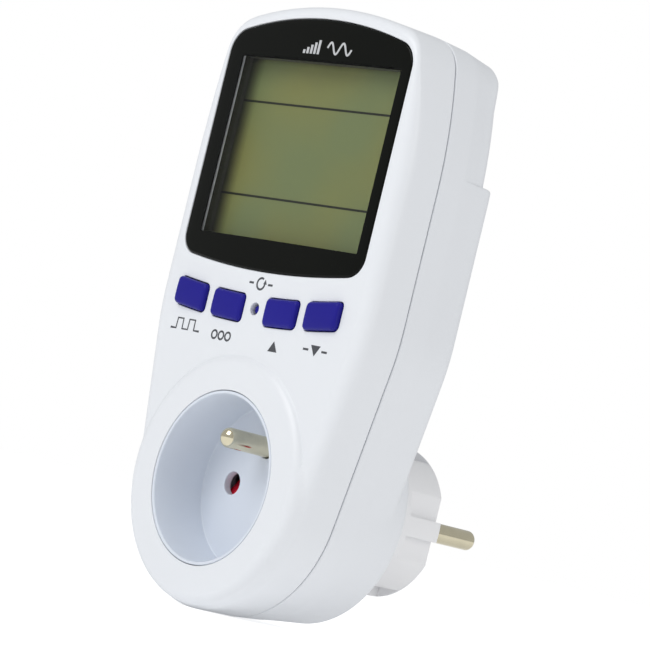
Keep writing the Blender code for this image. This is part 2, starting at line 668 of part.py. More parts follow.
def socket(shop):
    """The recessed insert with its pin holes, the shutter and its spring, the contacts and the earth pin."""
    floor_back, pocket_back = RECESS_DEPTH + 2.0, 22.0
    lip, barrel, pocket = RECESS_RADIUS + 0.8, 21.75, 16.5
    profile = [
        (0.0, RECESS_DEPTH),
        (RECESS_RADIUS, RECESS_DEPTH),
        (RECESS_RADIUS, 0.45),
        (RECESS_RADIUS + 0.35, 0.1),
        (lip - 0.1, 0.1),
        (lip, 0.3),
        (lip, 3.7),
        (barrel, 3.7),
        (barrel, pocket_back),
        (pocket, pocket_back),
        (pocket, floor_back),
        (0.0, floor_back),
    ]
    insert = shop.piece("socket_insert", turned(profile), "insert_white")
    half = PIN_SPACING / 2
    for x, z, radius in ((-half, 0.0, 2.75), (half, 0.0, 2.75), (0.0, EARTH_HEIGHT, PIN_RADIUS + GAP)):
        shop.cut(insert, rod(x, (RECESS_DEPTH - 1.0, floor_back + 1.0), z, radius))

    front, back = floor_back + 0.4, pocket_back - GAP
    ramp = [(front, -3.2), (front, -2.6), (back - 0.4, 3.2), (back, 3.2), (back, -3.2)]
    shutter = shop.piece("shutter", wedge(ramp, (-13.0, 13.0)), "shutter_red", point(0.0, front, 0.0))
    shop.join(shutter, block((-0.7, 0.7), (front + 1.6, back - 1.3), (-5.0, -3.0)))
    turns, low, high, coil = 7, -16.0, -3.6, 1.25
    steps = 8 * turns
    spring = [
        (
            coil * math.cos(math.tau * turns * i / steps),
            (front + back) / 2 + coil * math.sin(math.tau * turns * i / steps),
            low + (high - low) * i / steps,
        )
        for i in range(steps + 1)
    ]
    shop.piece("shutter_spring", tube(spring, 0.18, 1), "steel")

    carrier_front, carrier_back = pocket_back + GAP, 33.4
    body = plate(circle_outline((0.0, 0.0), 15.5, ROUND_SEGMENTS), (carrier_front, carrier_back))
    carrier = shop.piece("contact_carrier", body, "carrier_grey")
    for x in (-half, half):
        shop.cut(carrier, rod(x, (carrier_front - 1.0, carrier_back + 1.0), 0.0, 3.5))
    shop.cut(carrier, rod(0.0, (carrier_front - 1.0, carrier_back + 1.0), EARTH_HEIGHT, PIN_RADIUS + GAP))
    for name, side in (("line_contact", -1), ("neutral_contact", 1)):
        opening = math.radians(25)
        start = opening if side > 0 else math.pi + opening
        outer = arc_points((side * half, 0.0), 3.15, start, start + math.tau - 2 * opening, 18)
        inner = arc_points((side * half, 0.0), 2.5, start + math.tau - 2 * opening, start, 18)
        shop.piece(name, plate(outer + inner, (carrier_front + 0.5, 34.8)), "contact_brass")

    tip = RECESS_DEPTH - EARTH_PIN_LENGTH
    pin = [
        (0.0, tip),
        (1.1, tip + 0.05),
        (1.9, tip + 0.6),
        (PIN_RADIUS, tip + 1.7),
        (PIN_RADIUS, floor_back + GAP),
        (3.7, floor_back + GAP),
        (3.7, 19.0),
        (PIN_RADIUS, 19.0),
        (PIN_RADIUS, 36.0),
        (1.5, 36.0),
        (1.5, 42.8),
        (0.0, 42.8),
    ]
    shop.piece("earth_pin", turned(pin, (0.0, EARTH_HEIGHT), PIN_SEGMENTS), "nickel")


def plug(shop):
    """The plug on the back: moulded body with side flats and ribs, two pins, earth bracket and earth tube."""
    front, flange_back, wall_front = 33.7, 35.9, 54.0
    hollow, flange = 14.5, 20.8
    profile = [
        (hollow, front),
        (flange, front),
        (flange, flange_back),
        (PLUG_RADIUS, flange_back),
        (PLUG_RADIUS, PLUG_FACE - 0.9),
        (PLUG_RADIUS - 0.9, PLUG_FACE),
        (0.0, PLUG_FACE),
        (0.0, wall_front),
        (hollow, wall_front),
    ]
    mesh = turned(profile[6::-1] + profile[:6:-1])
    body = shop.piece("plug_body", mesh, "plug_white")
    flat, rib = 16.5, 2.4
    for side in (-1, 1):
        for low, high in ((rib, 12.0), (-12.0, -rib)):
            x = sorted((side * flat, side * 25.0))
            shop.cut(body, block(x, (47.7, PLUG_FACE + 1.0), (low, high)))
    half = PIN_SPACING / 2
    for x in (-half, half):
        shop.cut(body, rod(x, (wall_front - 1.0, PLUG_FACE + 1.0), 0.0, PIN_RADIUS + 0.15))
    shop.cut(body, rod(0.0, (wall_front - 1.0, PLUG_FACE + 1.0), EARTH_HEIGHT, 3.4))
    for low, high in ((15.7, 25.0), (-25.0, -15.7)):
        shop.cut(body, block((-3.2, 3.2), (43.2, PLUG_FACE - 1.2), (low, high)))
    for low, high in ((10.0, 25.0), (-25.0, -10.0)):
        shop.cut(body, block((-3.2, 3.2), (43.2, 45.4), (low, high)))
    for low, high in ((-14.5, -7.0), (7.0, 14.5)):
        shop.cut(body, block((low, high), (30.0, flange_back + 0.3), (3.5, 24.0)))

    for name, x in (("plug_pin_line", -half), ("plug_pin_neutral", half)):
        end = PLUG_FACE + PIN_LENGTH
        pin = [
            (0.0, 46.0),
            (1.4, 46.0),
            (1.4, 52.0),
            (3.6, 52.0),
            (3.6, wall_front - GAP),
            (PIN_RADIUS, wall_front - GAP),
            (PIN_RADIUS, end - 1.7),
            (1.9, end - 0.6),
            (1.1, end - 0.05),
            (0.0, end),
        ]
        shop.piece(name, turned(pin, (x, 0.0), PIN_SEGMENTS), "nickel")

    arm, base, end = 17.0, 44.3, 56.6
    path = [(end, arm - 0.9), (end - 1.2, arm), (48.0, arm), (base + 0.5, arm - 0.6), (base, arm - 2.0)]
    path += [(depth, -z) for depth, z in reversed(path)]
    shop.piece("earth_bracket", strip(path, 0.8, (-2.6, 2.6)), "nickel")
    sleeve = [(2.5, base + 0.7), (3.1, base + 0.7), (3.1, PLUG_FACE - 0.8), (2.5, PLUG_FACE - 0.8)]
    shop.piece("earth_tube", turned(sleeve[::-1], (0.0, EARTH_HEIGHT), PIN_SEGMENTS), "contact_brass")


# ---------------------------------------------------------------- power board and wiring


def power_board(shop):
    """The mains board on the rear shell, its parts, and the wires that join it to the plug and the socket."""
    back = POWER_BOARD_DEPTH + POWER_BOARD_THICKNESS
    board = block((-27.0, 27.0), (POWER_BOARD_DEPTH, back), (31.5, 100.5))
    board = shop.piece("power_board", board, "board_green")
    seat = POWER_BOARD_DEPTH - GAP
    for i, (x, z) in enumerate(POWER_POSTS):
        shop.cut(board, rod(x, (POWER_BOARD_DEPTH - 1.0, back + 1.0), z, 1.25, SCREW_SEGMENTS))
        head = [
            (0.0, seat - 1.4),
            (1.2, seat - 1.4),
            (1.9, seat - 0.7),
            (1.9, seat),
            (0.95, seat),
            (0.95, seat + 4.0),
            (0.0, seat + 5.0),
        ]
        shop.piece(f"power_screw_{i + 1}", turned(head, (x, z), SCREW_SEGMENTS), "steel")
    tall = seat - 11.4
    shop.piece("x2_capacitor", block((-23.0, -4.0), (tall, seat), (84.5, 93.0), 0.5), "film_yellow")
    shop.piece("dropper_capacitor", block((-25.0, 1.0), (tall, seat), (70.5, 80.5), 0.5), "film_yellow")
    can = [
        (0.0, tall),
        (4.4, tall),
        (5.0, tall + 0.5),
        (5.0, seat - 2.4),
        (4.7, seat - 2.0),
        (5.0, seat - 1.6),
        (5.0, seat),
        (0.0, seat),
    ]
    shop.piece("smoothing_capacitor", turned(can, (12.0, 90.0), 24), "sleeve_blue")
    shop.piece("varistor", lying_rod((14.0, seat - 5.6, 76.0), "Z", 3.8, 5.5, 24), "sleeve_blue")
    shop.piece("fuse_resistor", lying_rod((-20.0, seat - 2.2, 58.0), "Z", 11.0, 2.2, 16), "resistor_body")
    shop.piece("metering_chip", block((-6.0, 4.0), (seat - 1.9, seat), (52.0, 58.0), 0.4), "black_plastic")
    shop.piece("rectifier", block((18.0, 24.5), (seat - 2.6, seat), (58.0, 64.0), 0.4), "black_plastic")
    foot, top = seat - 3.4, seat - 4.6
    legs = [(seat, 50.0), (foot, 50.0), (top, 51.2), (top, 58.8), (foot, 60.0), (seat, 60.0)]
    shop.piece("shunt", strip(legs, 0.9, (9.0, 13.0)), "copper")
    display_back = DISPLAY_BOARD_DEPTH + DISPLAY_BOARD_THICKNESS + GAP
    bend = [(display_back, 66.0), (17.0, 66.2), (20.0, 65.0), (21.5, 63.5), (24.0, 62.8), (seat, 62.8)]
    shop.piece("ribbon_cable", strip(bend, 0.9, (-9.0, 5.0)), "ribbon_grey")

    half = PIN_SPACING / 2
    from_line_pin = [(-half, 45.6, 0.0), (-half, 42.0, 1.0), (-9.0, 37.5, 4.0)]
    from_line_contact = [(-half, 36.0, -0.5), (-11.6, 36.0, 2.0), (-12.4, 35.4, 5.5)]
    from_neutral_link = [(half, 40.0, 2.4), (9.6, 37.5, 5.0)]
    wires = {
        "line_wire": ("wire_brown", 0.9, from_line_pin + climb(-9.0, -11.5)),
        "load_wire": ("wire_brown", 0.9, from_line_contact + climb(-12.6, -17.0)),
        "neutral_wire": ("wire_blue", 0.7, from_neutral_link + climb(9.6, 12.5)),
    }
    for name, (colour, radius, knots) in wires.items():
        shop.piece(name, tube(smooth_path(knots, 2.2), radius), colour)
    shop.piece("neutral_link", rod(half, (35.1, 45.7), 0.0, 1.2, 12), "copper")


def climb(slot_x, board_x):
    """A wire's way out of the plug's hollow, through the slot in its rim and up to the power board's front."""
    levels = [(34.9, 9.0), (34.0, 15.0), (32.4, 19.0), (29.6, 22.8)]
    levels += [(27.2, 26.6), (25.8, 30.4), (25.7, 34.5)]
    straight = 2
    lean = (board_x - slot_x) / (len(levels) - 1 - straight)
    return [(slot_x + lean * max(0, i - straight), depth, z) for i, (depth, z) in enumerate(levels)]


def main():
    clear_scene()
    shop = Workshop()
    front_shell(shop)
    rear_shell(shop)
    case_screws(shop)
    display(shop)
    keypad(shop)
    socket(shop)
    plug(shop)
    power_board(shop)


main()
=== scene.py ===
"""Plug-in power meter: shells, window, buttons, socket and plug in their finished form, and the finishes.

Lengths below are in millimetres, and a depth is the distance behind the rim plane of the socket. The meshes
are turned into metres when they are made.
"""

import math

import bmesh
import bpy
import numpy as np
from bpy.props import FloatProperty, FloatVectorProperty, PointerProperty
from mathutils import Matrix, Vector
from mathutils.geometry import delaunay_2d_cdt


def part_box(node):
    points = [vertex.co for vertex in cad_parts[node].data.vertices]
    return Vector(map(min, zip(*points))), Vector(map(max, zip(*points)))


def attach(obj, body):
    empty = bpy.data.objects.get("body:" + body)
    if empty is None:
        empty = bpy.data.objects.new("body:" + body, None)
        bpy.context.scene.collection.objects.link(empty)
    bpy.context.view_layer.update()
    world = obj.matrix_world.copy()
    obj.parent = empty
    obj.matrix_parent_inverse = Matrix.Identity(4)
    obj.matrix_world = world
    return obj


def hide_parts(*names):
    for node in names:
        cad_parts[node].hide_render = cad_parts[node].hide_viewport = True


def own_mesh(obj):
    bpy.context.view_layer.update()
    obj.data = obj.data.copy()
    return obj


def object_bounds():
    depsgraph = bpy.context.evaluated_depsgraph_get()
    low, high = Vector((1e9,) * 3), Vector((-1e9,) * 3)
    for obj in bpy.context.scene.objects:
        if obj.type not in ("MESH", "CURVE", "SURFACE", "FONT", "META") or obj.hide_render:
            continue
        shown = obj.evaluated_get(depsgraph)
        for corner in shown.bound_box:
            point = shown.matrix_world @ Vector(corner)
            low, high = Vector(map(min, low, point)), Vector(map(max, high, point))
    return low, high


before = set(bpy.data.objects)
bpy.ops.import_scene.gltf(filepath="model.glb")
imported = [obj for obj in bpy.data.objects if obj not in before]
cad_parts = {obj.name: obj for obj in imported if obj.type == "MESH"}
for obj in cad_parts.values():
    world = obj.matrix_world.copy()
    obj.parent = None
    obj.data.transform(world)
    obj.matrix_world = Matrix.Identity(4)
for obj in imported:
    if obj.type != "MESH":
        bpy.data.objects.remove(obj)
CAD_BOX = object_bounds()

bl_info = {
    "name": "Plug-in Power Meter",
    "version": (1, 0, 0),
    "blender": (4, 5, 0),
    "location": "View3D > Sidebar > Power Meter",
    "description": "Builds a plug-in power meter's surfaces and materials round its packed frame",
    "category": "Object",
}

MM = 0.001
PLUG_FACE = 58.4
BODY = "housing"

# Depths of the case
FACE = 1.0
FACE_CROWN = 1240.0
PARTING = 14.2
SEAM = 0.22
CREASE = 21.8
UPPER_BACK, MIDDLE_BACK, LOWER_BACK = 31.6, 34.4, 38.2
STEP = 79.5
WALL = 2.0

# Outline of the case from the front
HEIGHT = 113.3
END_RADIUS = 30.3
TAPER = math.radians(10)
HALF_WIDTH = 37.4
WAIST_RADIUS = 60.0
SHOULDER_RADIUS = 112.0
SHOULDER = (HALF_WIDTH - SHOULDER_RADIUS, 75.0)
CORNER_RADIUS = 10.0
TOP_RADIUS = 115.0
TOP_ARC = (0.0, HEIGHT - TOP_RADIUS)
BACK_INSET = 1.8

# Window, view through it, buttons
WINDOW_HALF_WIDTH = 32.5
WINDOW_BOTTOM = 49.3
WINDOW_TOP = 110.0
VIEW = (28.2, 56.9, 100.0)
KEYS = {"function": -23.7, "cost": -9.6, "up": 9.6, "down": 23.7}
KEY_HALF = (5.5, 3.3)
KEY_LEVEL = 40.1
KEY_ARCH = 217.0
RESET_LEVEL = 40.4
RESET_HOLE = 1.5

# Socket and plug
PIN_RADIUS = 2.4
PIN_X = 9.5
EARTH_Z = 10.0
RECESS_RADIUS = 19.75
RECESS_DEPTH = 15.0
RING_OPENING = 20.72
PLUG_RADIUS = 18.5
PIN_LENGTH = 19.0
CASE_SCREWS = ((-14.0, 105.2), (14.0, 105.2), (-25.5, 24.0), (25.5, 24.0))
QUARTER = np.linspace(0.0, math.pi / 2, 9)

# Camera
LENS = 199.08
CAMERA_PLACE = (0.637698, -0.594259, -0.004786)
CAMERA_RIGHT = (0.65038397, 0.72215325, 0.23557455)
CAMERA_UP = (-0.11581326, -0.21223005, 0.97033278)
CAMERA_AHEAD = (-0.75072497, 0.65837154, 0.0543961)


# ---------------------------------------------------------------- meshes from arrays


def shown(name, shapes, finish, sharp=38.0):
    """A new object at the origin from closed shapes of (points, triangles), points being (x, depth, z)."""
    start, points, faces = 0, [], []
    for shape_points, shape_faces in map(welded, shapes):
        points.append(shape_points)
        faces.append(shape_faces + start)
        start += len(shape_points)
    points = (np.concatenate(points) - (0.0, PLUG_FACE, 0.0)) * MM
    mesh = bpy.data.meshes.new(name)
    mesh.from_pydata(points.tolist(), [], np.concatenate(faces).tolist())
    bm = bmesh.new()
    bm.from_mesh(mesh)
    bmesh.ops.recalc_face_normals(bm, faces=bm.faces)
    bm.to_mesh(mesh)
    bm.free()
    mesh.shade_smooth()
    mesh.set_sharp_from_angle(angle=math.radians(sharp))
    mesh.materials.append(finish)
    obj = bpy.data.objects.new(name, mesh)
    bpy.context.scene.collection.objects.link(obj)
    return obj


def welded(shape):
    """The shape with equal points made one, less the triangles this closes and points that none uses."""
    points, faces = shape
    points, index = np.unique(np.round(points, 5), axis=0, return_inverse=True)
    faces = index.reshape(-1)[faces]
    a, b, c = faces.T
    faces = faces[(a != b) & (b != c) & (c != a)]
    used, index = np.unique(faces, return_inverse=True)
    return points[used], index.reshape(faces.shape)


def joined(shapes):
    """Several (points, triangles) as one."""
    starts = np.cumsum([0] + [len(points) for points, _ in shapes[:-1]])
    return (
        np.concatenate([points for points, _ in shapes]),
        np.concatenate([faces + start for (_, faces), start in zip(shapes, starts)]),
    )


def grid(points):
    """Triangles over an array of rows by columns, each row a closed loop."""
    rows, columns = points.shape[:2]
    place = np.arange(rows * columns).reshape(rows, columns)
    a, b = place[:-1], np.roll(place[:-1], -1, axis=1)
    c, d = np.roll(place[1:], -1, axis=1), place[1:]
    faces = np.concatenate([np.stack([a, b, c], -1), np.stack([a, c, d], -1)])
    return points.reshape(-1, 3), faces.reshape(-1, 3)


def laid(flat, depth):
    """(x, z) places with a depth each, as (x, depth, z) points."""
    return np.stack([flat[:, 0], np.broadcast_to(depth, len(flat)), flat[:, 1]], 1)


def band(rows):
    """A skin through rows of (loop, depth), loops having the same number of points."""
    return grid(np.stack([laid(loop, depth) for loop, depth in rows]))


def turned(profile, centre=(0.0, 0.0), segments=96):
    """A (radius, depth) profile turned about a line along Y: x = cx + r cos t, z = cz + r sin t."""
    turn = np.arange(segments) * math.tau / segments
    circle = np.stack([np.cos(turn), np.sin(turn)], 1)
    return band([(np.add(centre, circle * radius), depth) for radius, depth in profile])


def filled(loops, inner):
    """Triangles of the flat area inside the first loop and outside the others, through inner points too."""
    starts = np.cumsum([0] + [len(loop) for loop in loops])
    edges = [
        np.stack([np.arange(low, high), np.roll(np.arange(low, high), -1)], 1)
        for low, high in zip(starts, starts[1:])
    ]
    flat = np.concatenate([*loops, inner])
    edges = np.concatenate(edges).tolist()
    _, _, faces, sources, _, _ = delaunay_2d_cdt(flat.tolist(), edges, [], 1, 1e-6)
    faces = np.array([source[0] for source in sources])[np.array(faces)]
    middles = flat[faces].mean(1)
    kept = within(middles, loops[0])
    for loop in loops[1:]:
        kept &= ~within(middles, loop)
    return flat, faces[kept]


def within(places, loop):
    """Which places are inside a loop: a line from them along +x crosses it an odd number of times."""
    start, end = loop, np.roll(loop, -1, axis=0)
    x, z = places[:, :1], places[:, 1:]
    rise = end[:, 1] - start[:, 1]
    run = (end[:, 0] - start[:, 0]) / np.where(rise == 0, 1.0, rise)
    crossing = start[:, 0] + (z - start[:, 1]) * run
    return (((start[:, 1] > z) != (end[:, 1] > z)) & (x < crossing)).sum(1) % 2 == 1


def slab(rim, holes, front, back, inner):
    """A closed sheet between two depth fields, with rows of (loop, depth) from front to back at its edges.

    The rim and every hole is its loop on the sheet, then the rows between the front and the back.
    """
    edges = [rim, *holes]
    flat, faces = filled([loop for loop, _ in edges], inner)
    shapes = [(laid(flat, front(flat)), faces), (laid(flat, back(flat)), faces)]
    shapes += [band([(loop, front(loop)), *rows, (loop, back(loop))]) for loop, rows in edges]
    return joined(shapes)


def flat_at(depth):
    """A depth field that is the same everywhere."""
    return lambda flat: np.full(len(flat), depth)


def behind(depth_of, distance):
    """A depth field this far behind another."""
    return lambda flat: depth_of(flat) + distance


def spread(loops, spacing, extra=(), keep=None):
    """Points over the box of the first loop, a spacing apart, with extra ones, none close to a loop."""
    clear = 0.55 * spacing
    low, high = loops[0].min(0), loops[0].max(0)
    columns, rows = (np.arange(low[i] + spacing, high[i], spacing) for i in (0, 1))
    places = np.stack(np.meshgrid(columns, rows), -1).reshape(-1, 2)
    places = places[keep(places)] if keep else places
    border = np.concatenate(loops)
    return np.concatenate([away(points, border, reach) for points, reach in [(places, clear), *extra]])


def away(places, border, reach):
    """The places further than a reach from every point of a border."""
    gap = np.full(len(places), np.inf)
    for part in np.array_split(border, 8):
        gap = np.minimum(gap, np.hypot(*(places - part[:, None]).transpose(2, 0, 1)).min(0))
    return places[gap > reach]


# ---------------------------------------------------------------- outlines


def arc(centre, radius, start, end, count):
    """Points on a circle at even angles from start to end, the last one left to what follows."""
    turn = np.linspace(start, end, count, endpoint=False)
    return on_circle(centre, radius, turn)


def on_circle(centre, radius, turn):
    """Points centre + radius (cos a, sin a), one for each angle."""
    return np.add(centre, radius * np.stack([np.cos(turn), np.sin(turn)], -1))


def line(start, end, count):
    """Evenly spaced points start (1 - s) + end s, the last one left to what follows."""
    share = np.linspace(0.0, 1.0, count, endpoint=False)[:, None]
    return np.array(start) * (1 - share) + np.array(end) * share


def mirrored(*parts):
    """A closed loop from the parts of its right half, which run from the bottom to the top."""
    right_half = np.concatenate(parts)
    return np.concatenate([right_half, right_half[-2:0:-1] * (-1, 1)])


def circle(centre, radius, count=96):
    """A whole circle as a closed loop."""
    return arc(centre, radius, 0.0, math.tau, count)


def corner_of(a, from_a, b, from_b):
    """The right-hand point at one distance from a and another from b, and its angles from both."""
    a, b = np.array(a), np.array(b)
    apart = np.hypot(*(b - a))
    along = (from_a**2 - from_b**2 + apart**2) / (2 * apart)
    unit = (b - a) / apart
    aside = math.sqrt(from_a**2 - along**2) * np.array([-unit[1], unit[0]])
    place = max(a + unit * along + aside, a + unit * along - aside, key=lambda p: p[0])
    return place, *(math.atan2(*(place - middle)[::-1]) for middle in (a, b))


def outline(inset=0.0):
    """The case from the front: round end, taper, waist, side, shoulder, corner and arched top.

    The arcs share tangents, so an inset only shortens every radius. The shoulder's points are close
    together at the step.
    """
    waist_x = HALF_WIDTH - WAIST_RADIUS
    waist = (waist_x, (waist_x * math.cos(TAPER) - END_RADIUS + WAIST_RADIUS) / math.sin(TAPER))
    reaches = SHOULDER_RADIUS - CORNER_RADIUS, TOP_RADIUS - CORNER_RADIUS
    corner, into, out_of = corner_of(SHOULDER, reaches[0], TOP_ARC, reaches[1])
    end = arc((0.0, 0.0), END_RADIUS - inset, -math.pi / 2, -TAPER, 56)
    bend = arc(waist, WAIST_RADIUS - inset, -TAPER, 0.0, 10)
    lower_end = on_circle((0.0, 0.0), END_RADIUS - inset, np.array([-TAPER]))
    side_end = (HALF_WIDTH - inset, waist[1])
    close = np.arcsin((np.arange(STEP - 1.2, STEP + 1.3, 0.1) - SHOULDER[1]) / SHOULDER_RADIUS)
    turns = np.unique(np.concatenate([np.linspace(0.0, into, 26, endpoint=False), close]))
    top = arc(TOP_ARC, TOP_RADIUS - inset, out_of, math.pi / 2, 28)
    return mirrored(
        end,
        line(lower_end[0], bend[0], 24),
        bend,
        line(side_end, (HALF_WIDTH - inset, SHOULDER[1]), 22),
        on_circle(SHOULDER, SHOULDER_RADIUS - inset, turns),
        arc(corner, CORNER_RADIUS - inset, into, out_of, 14),
        top,
        [(0.0, TOP_ARC[1] + TOP_RADIUS - inset)],
    )


OUTLINE = outline()
INWARD = outline(1.0) - OUTLINE


def case_loop(inset=0.0):
    """The outline drawn in along its own normals by one distance, or by one for every point."""
    return OUTLINE + INWARD * np.broadcast_to(inset, len(OUTLINE))[:, None]


def window_loop(grow=0.0):
    """The window: upright sides, a bottom bowed down, an arched top and round corners."""
    low_corner, high_corner, low_radius, high_radius = 5.0, 6.0, 211.0, WINDOW_TOP
    bottom = (0.0, WINDOW_BOTTOM + low_radius)
    low_x = WINDOW_HALF_WIDTH - low_corner
    low = (low_x, bottom[1] - math.sqrt((low_radius - low_corner) ** 2 - low_x**2))
    high_x = WINDOW_HALF_WIDTH - high_corner
    high = (high_x, math.sqrt((high_radius - high_corner) ** 2 - high_x**2))
    into = math.atan2(low[1] - bottom[1], low[0])
    out_of = math.atan2(high[1], high[0])
    side = WINDOW_HALF_WIDTH + grow
    return mirrored(
        arc(bottom, low_radius + grow, -math.pi / 2, into, 24),
        arc(low, low_corner + grow, into, 0.0, 10),
        line((side, low[1]), (side, high[1]), 28),
        arc(high, high_corner + grow, 0.0, out_of, 10),
        arc((0.0, 0.0), high_radius + grow, out_of, math.pi / 2, 24),
        [(0.0, high_radius + grow)],
    )


def boxed(loop, half_width, low, high):
    """A loop drawn in to a rectangle that it goes round."""
    return np.stack([np.clip(loop[:, 0], -half_width, half_width), np.clip(loop[:, 1], low, high)], 1)


def key_loop(centre, grow=0.0):
    """A round-cornered rectangle bent to the arch z = level + x x / (2 radius) on which the keys stand."""
    radius = 1.1
    middle = np.subtract(KEY_HALF, radius)
    corners = [middle * signs for signs in ((1, 1), (-1, 1), (-1, -1), (1, -1))]
    parts = []
    for turn, corner in enumerate(corners):
        start, stop = turn * math.pi / 2, (turn + 1) * math.pi / 2
        ends = [on_circle(place, radius + grow, stop) for place in (corner, corners[(turn + 1) % 4])]
        parts += [arc(corner, radius + grow, start, stop, 8), line(*ends, 8)]
    loop = np.concatenate(parts) + (centre, KEY_LEVEL)
    return loop + np.stack([0 * loop[:, 0], loop[:, 0] ** 2 / (2 * KEY_ARCH)], 1)


# ---------------------------------------------------------------- depth fields


def face_depth(flat):
    """The crowned front: depth = face + x x / crown."""
    return FACE + flat[:, 0] ** 2 / FACE_CROWN


def softened(a, b, blend, side):
    """The lesser (side 1) or greater (side -1) of two fields, rounded where they are within a blend.

    A gap |a - b| below the blend moves the result on by (blend / 4) (1 - gap / blend)^2.
    """
    overlap = np.clip(blend - np.abs(a - b), 0.0, None) / blend
    return side * (np.minimum(side * a, side * b) - overlap**2 * blend / 4)


def ring_depth(flat):
    """The raised ring: flat to a radius, then a quarter round, then falling steeply away."""
    flat_radius, rounding, fall = 26.8, 3.0, 8
    out = np.hypot(*flat.T) - flat_radius
    round_part = rounding - np.sqrt(rounding**2 - np.clip(out, 0.0, rounding) ** 2)
    return round_part + fall * np.clip(out - rounding, 0.0, None)


def front_depth(flat, fall=0.0):
    """The front with its ring: the nearer of the crowned face, dropped by a fall, and the ring."""
    return softened(face_depth(flat) + fall, ring_depth(flat), 0.35, 1)


def back_level(flat):
    """The stepped back: one level below the step and another above, with a round lip and a small fillet."""
    lip, fillet = 0.8, 0.5
    down = np.linspace(0.0, lip, 9)
    up = np.linspace(0.0, fillet, 7)
    heights = np.concatenate([STEP - lip + down, STEP + 0.05 + up])
    depths = np.concatenate(
        [
            MIDDLE_BACK - lip + np.sqrt(lip**2 - down**2),
            UPPER_BACK + fillet - np.sqrt(np.clip(fillet**2 - (fillet - up) ** 2, 0.0, None)),
        ]
    )
    return np.interp(flat[:, 1], heights, depths)


PAD_ROUNDING = 3.0
PAD_RADIUS = 28.6
PAD_SLOPE = 12.7
PAD_TURNS = np.linspace(0.0, math.pi / 2, 12)
PAD_PROFILE = (
    [*(PAD_RADIUS - PAD_ROUNDING * (1 - np.sin(PAD_TURNS))), PAD_RADIUS + 1.0],
    [*(LOWER_BACK - PAD_ROUNDING * (1 - np.cos(PAD_TURNS))), LOWER_BACK - PAD_ROUNDING - PAD_SLOPE],
)


def pad_depth(flat):
    """The round pad behind the plug: flat, a quarter round, then a steep cone."""
    radius = np.hypot(*flat.T)
    beyond = np.clip(radius - PAD_RADIUS - 1.0, 0.0, None) * PAD_SLOPE
    return np.interp(radius, *PAD_PROFILE) - beyond


def pad_radius(depth):
    """Radius of the pad's cone at a depth."""
    return PAD_RADIUS + (LOWER_BACK - PAD_ROUNDING - depth) / PAD_SLOPE


def back_depth(flat):
    """The back: the stepped level or the pad, whichever stands further out."""
    return softened(back_level(flat), pad_depth(flat), 0.3, -1)


def pushed(loop, radius):
    """A loop with the points nearer the plug's axis than a radius moved out to it, softly."""
    distance = np.hypot(*loop.T)
    moved = softened(distance, np.broadcast_to(radius, distance.shape), 0.3, -1)
    return loop * (moved / distance)[:, None]


# ---------------------------------------------------------------- case


def rounded_edge(loop_at, rounding, depth_of, rows, side=1):
    """A rim or hole with a rounded edge: its loop on the sheet, then the round and the rows below it.

    loop_at gives the loop moved into the sheet by a distance. The round faces forwards (side 1) or
    backwards (-1).
    """
    turned_in = []
    for a in QUARTER[1:]:
        loop = loop_at(rounding * (1 - math.sin(a)))
        turned_in.append((loop, depth_of(loop) + side * rounding * (1 - math.cos(a))))
    return loop_at(rounding), [*turned_in, *rows]


def drilled(centre, radius, rounding, depth_of, rows, count, side=1):
    """A round hole with a rounded edge, with (radius, depth) rows below it."""
    return rounded_edge(
        lambda grow: circle(centre, radius + grow, count),
        rounding,
        depth_of,
        [(circle(centre, at, count), depth) for at, depth in rows],
        side,
    )


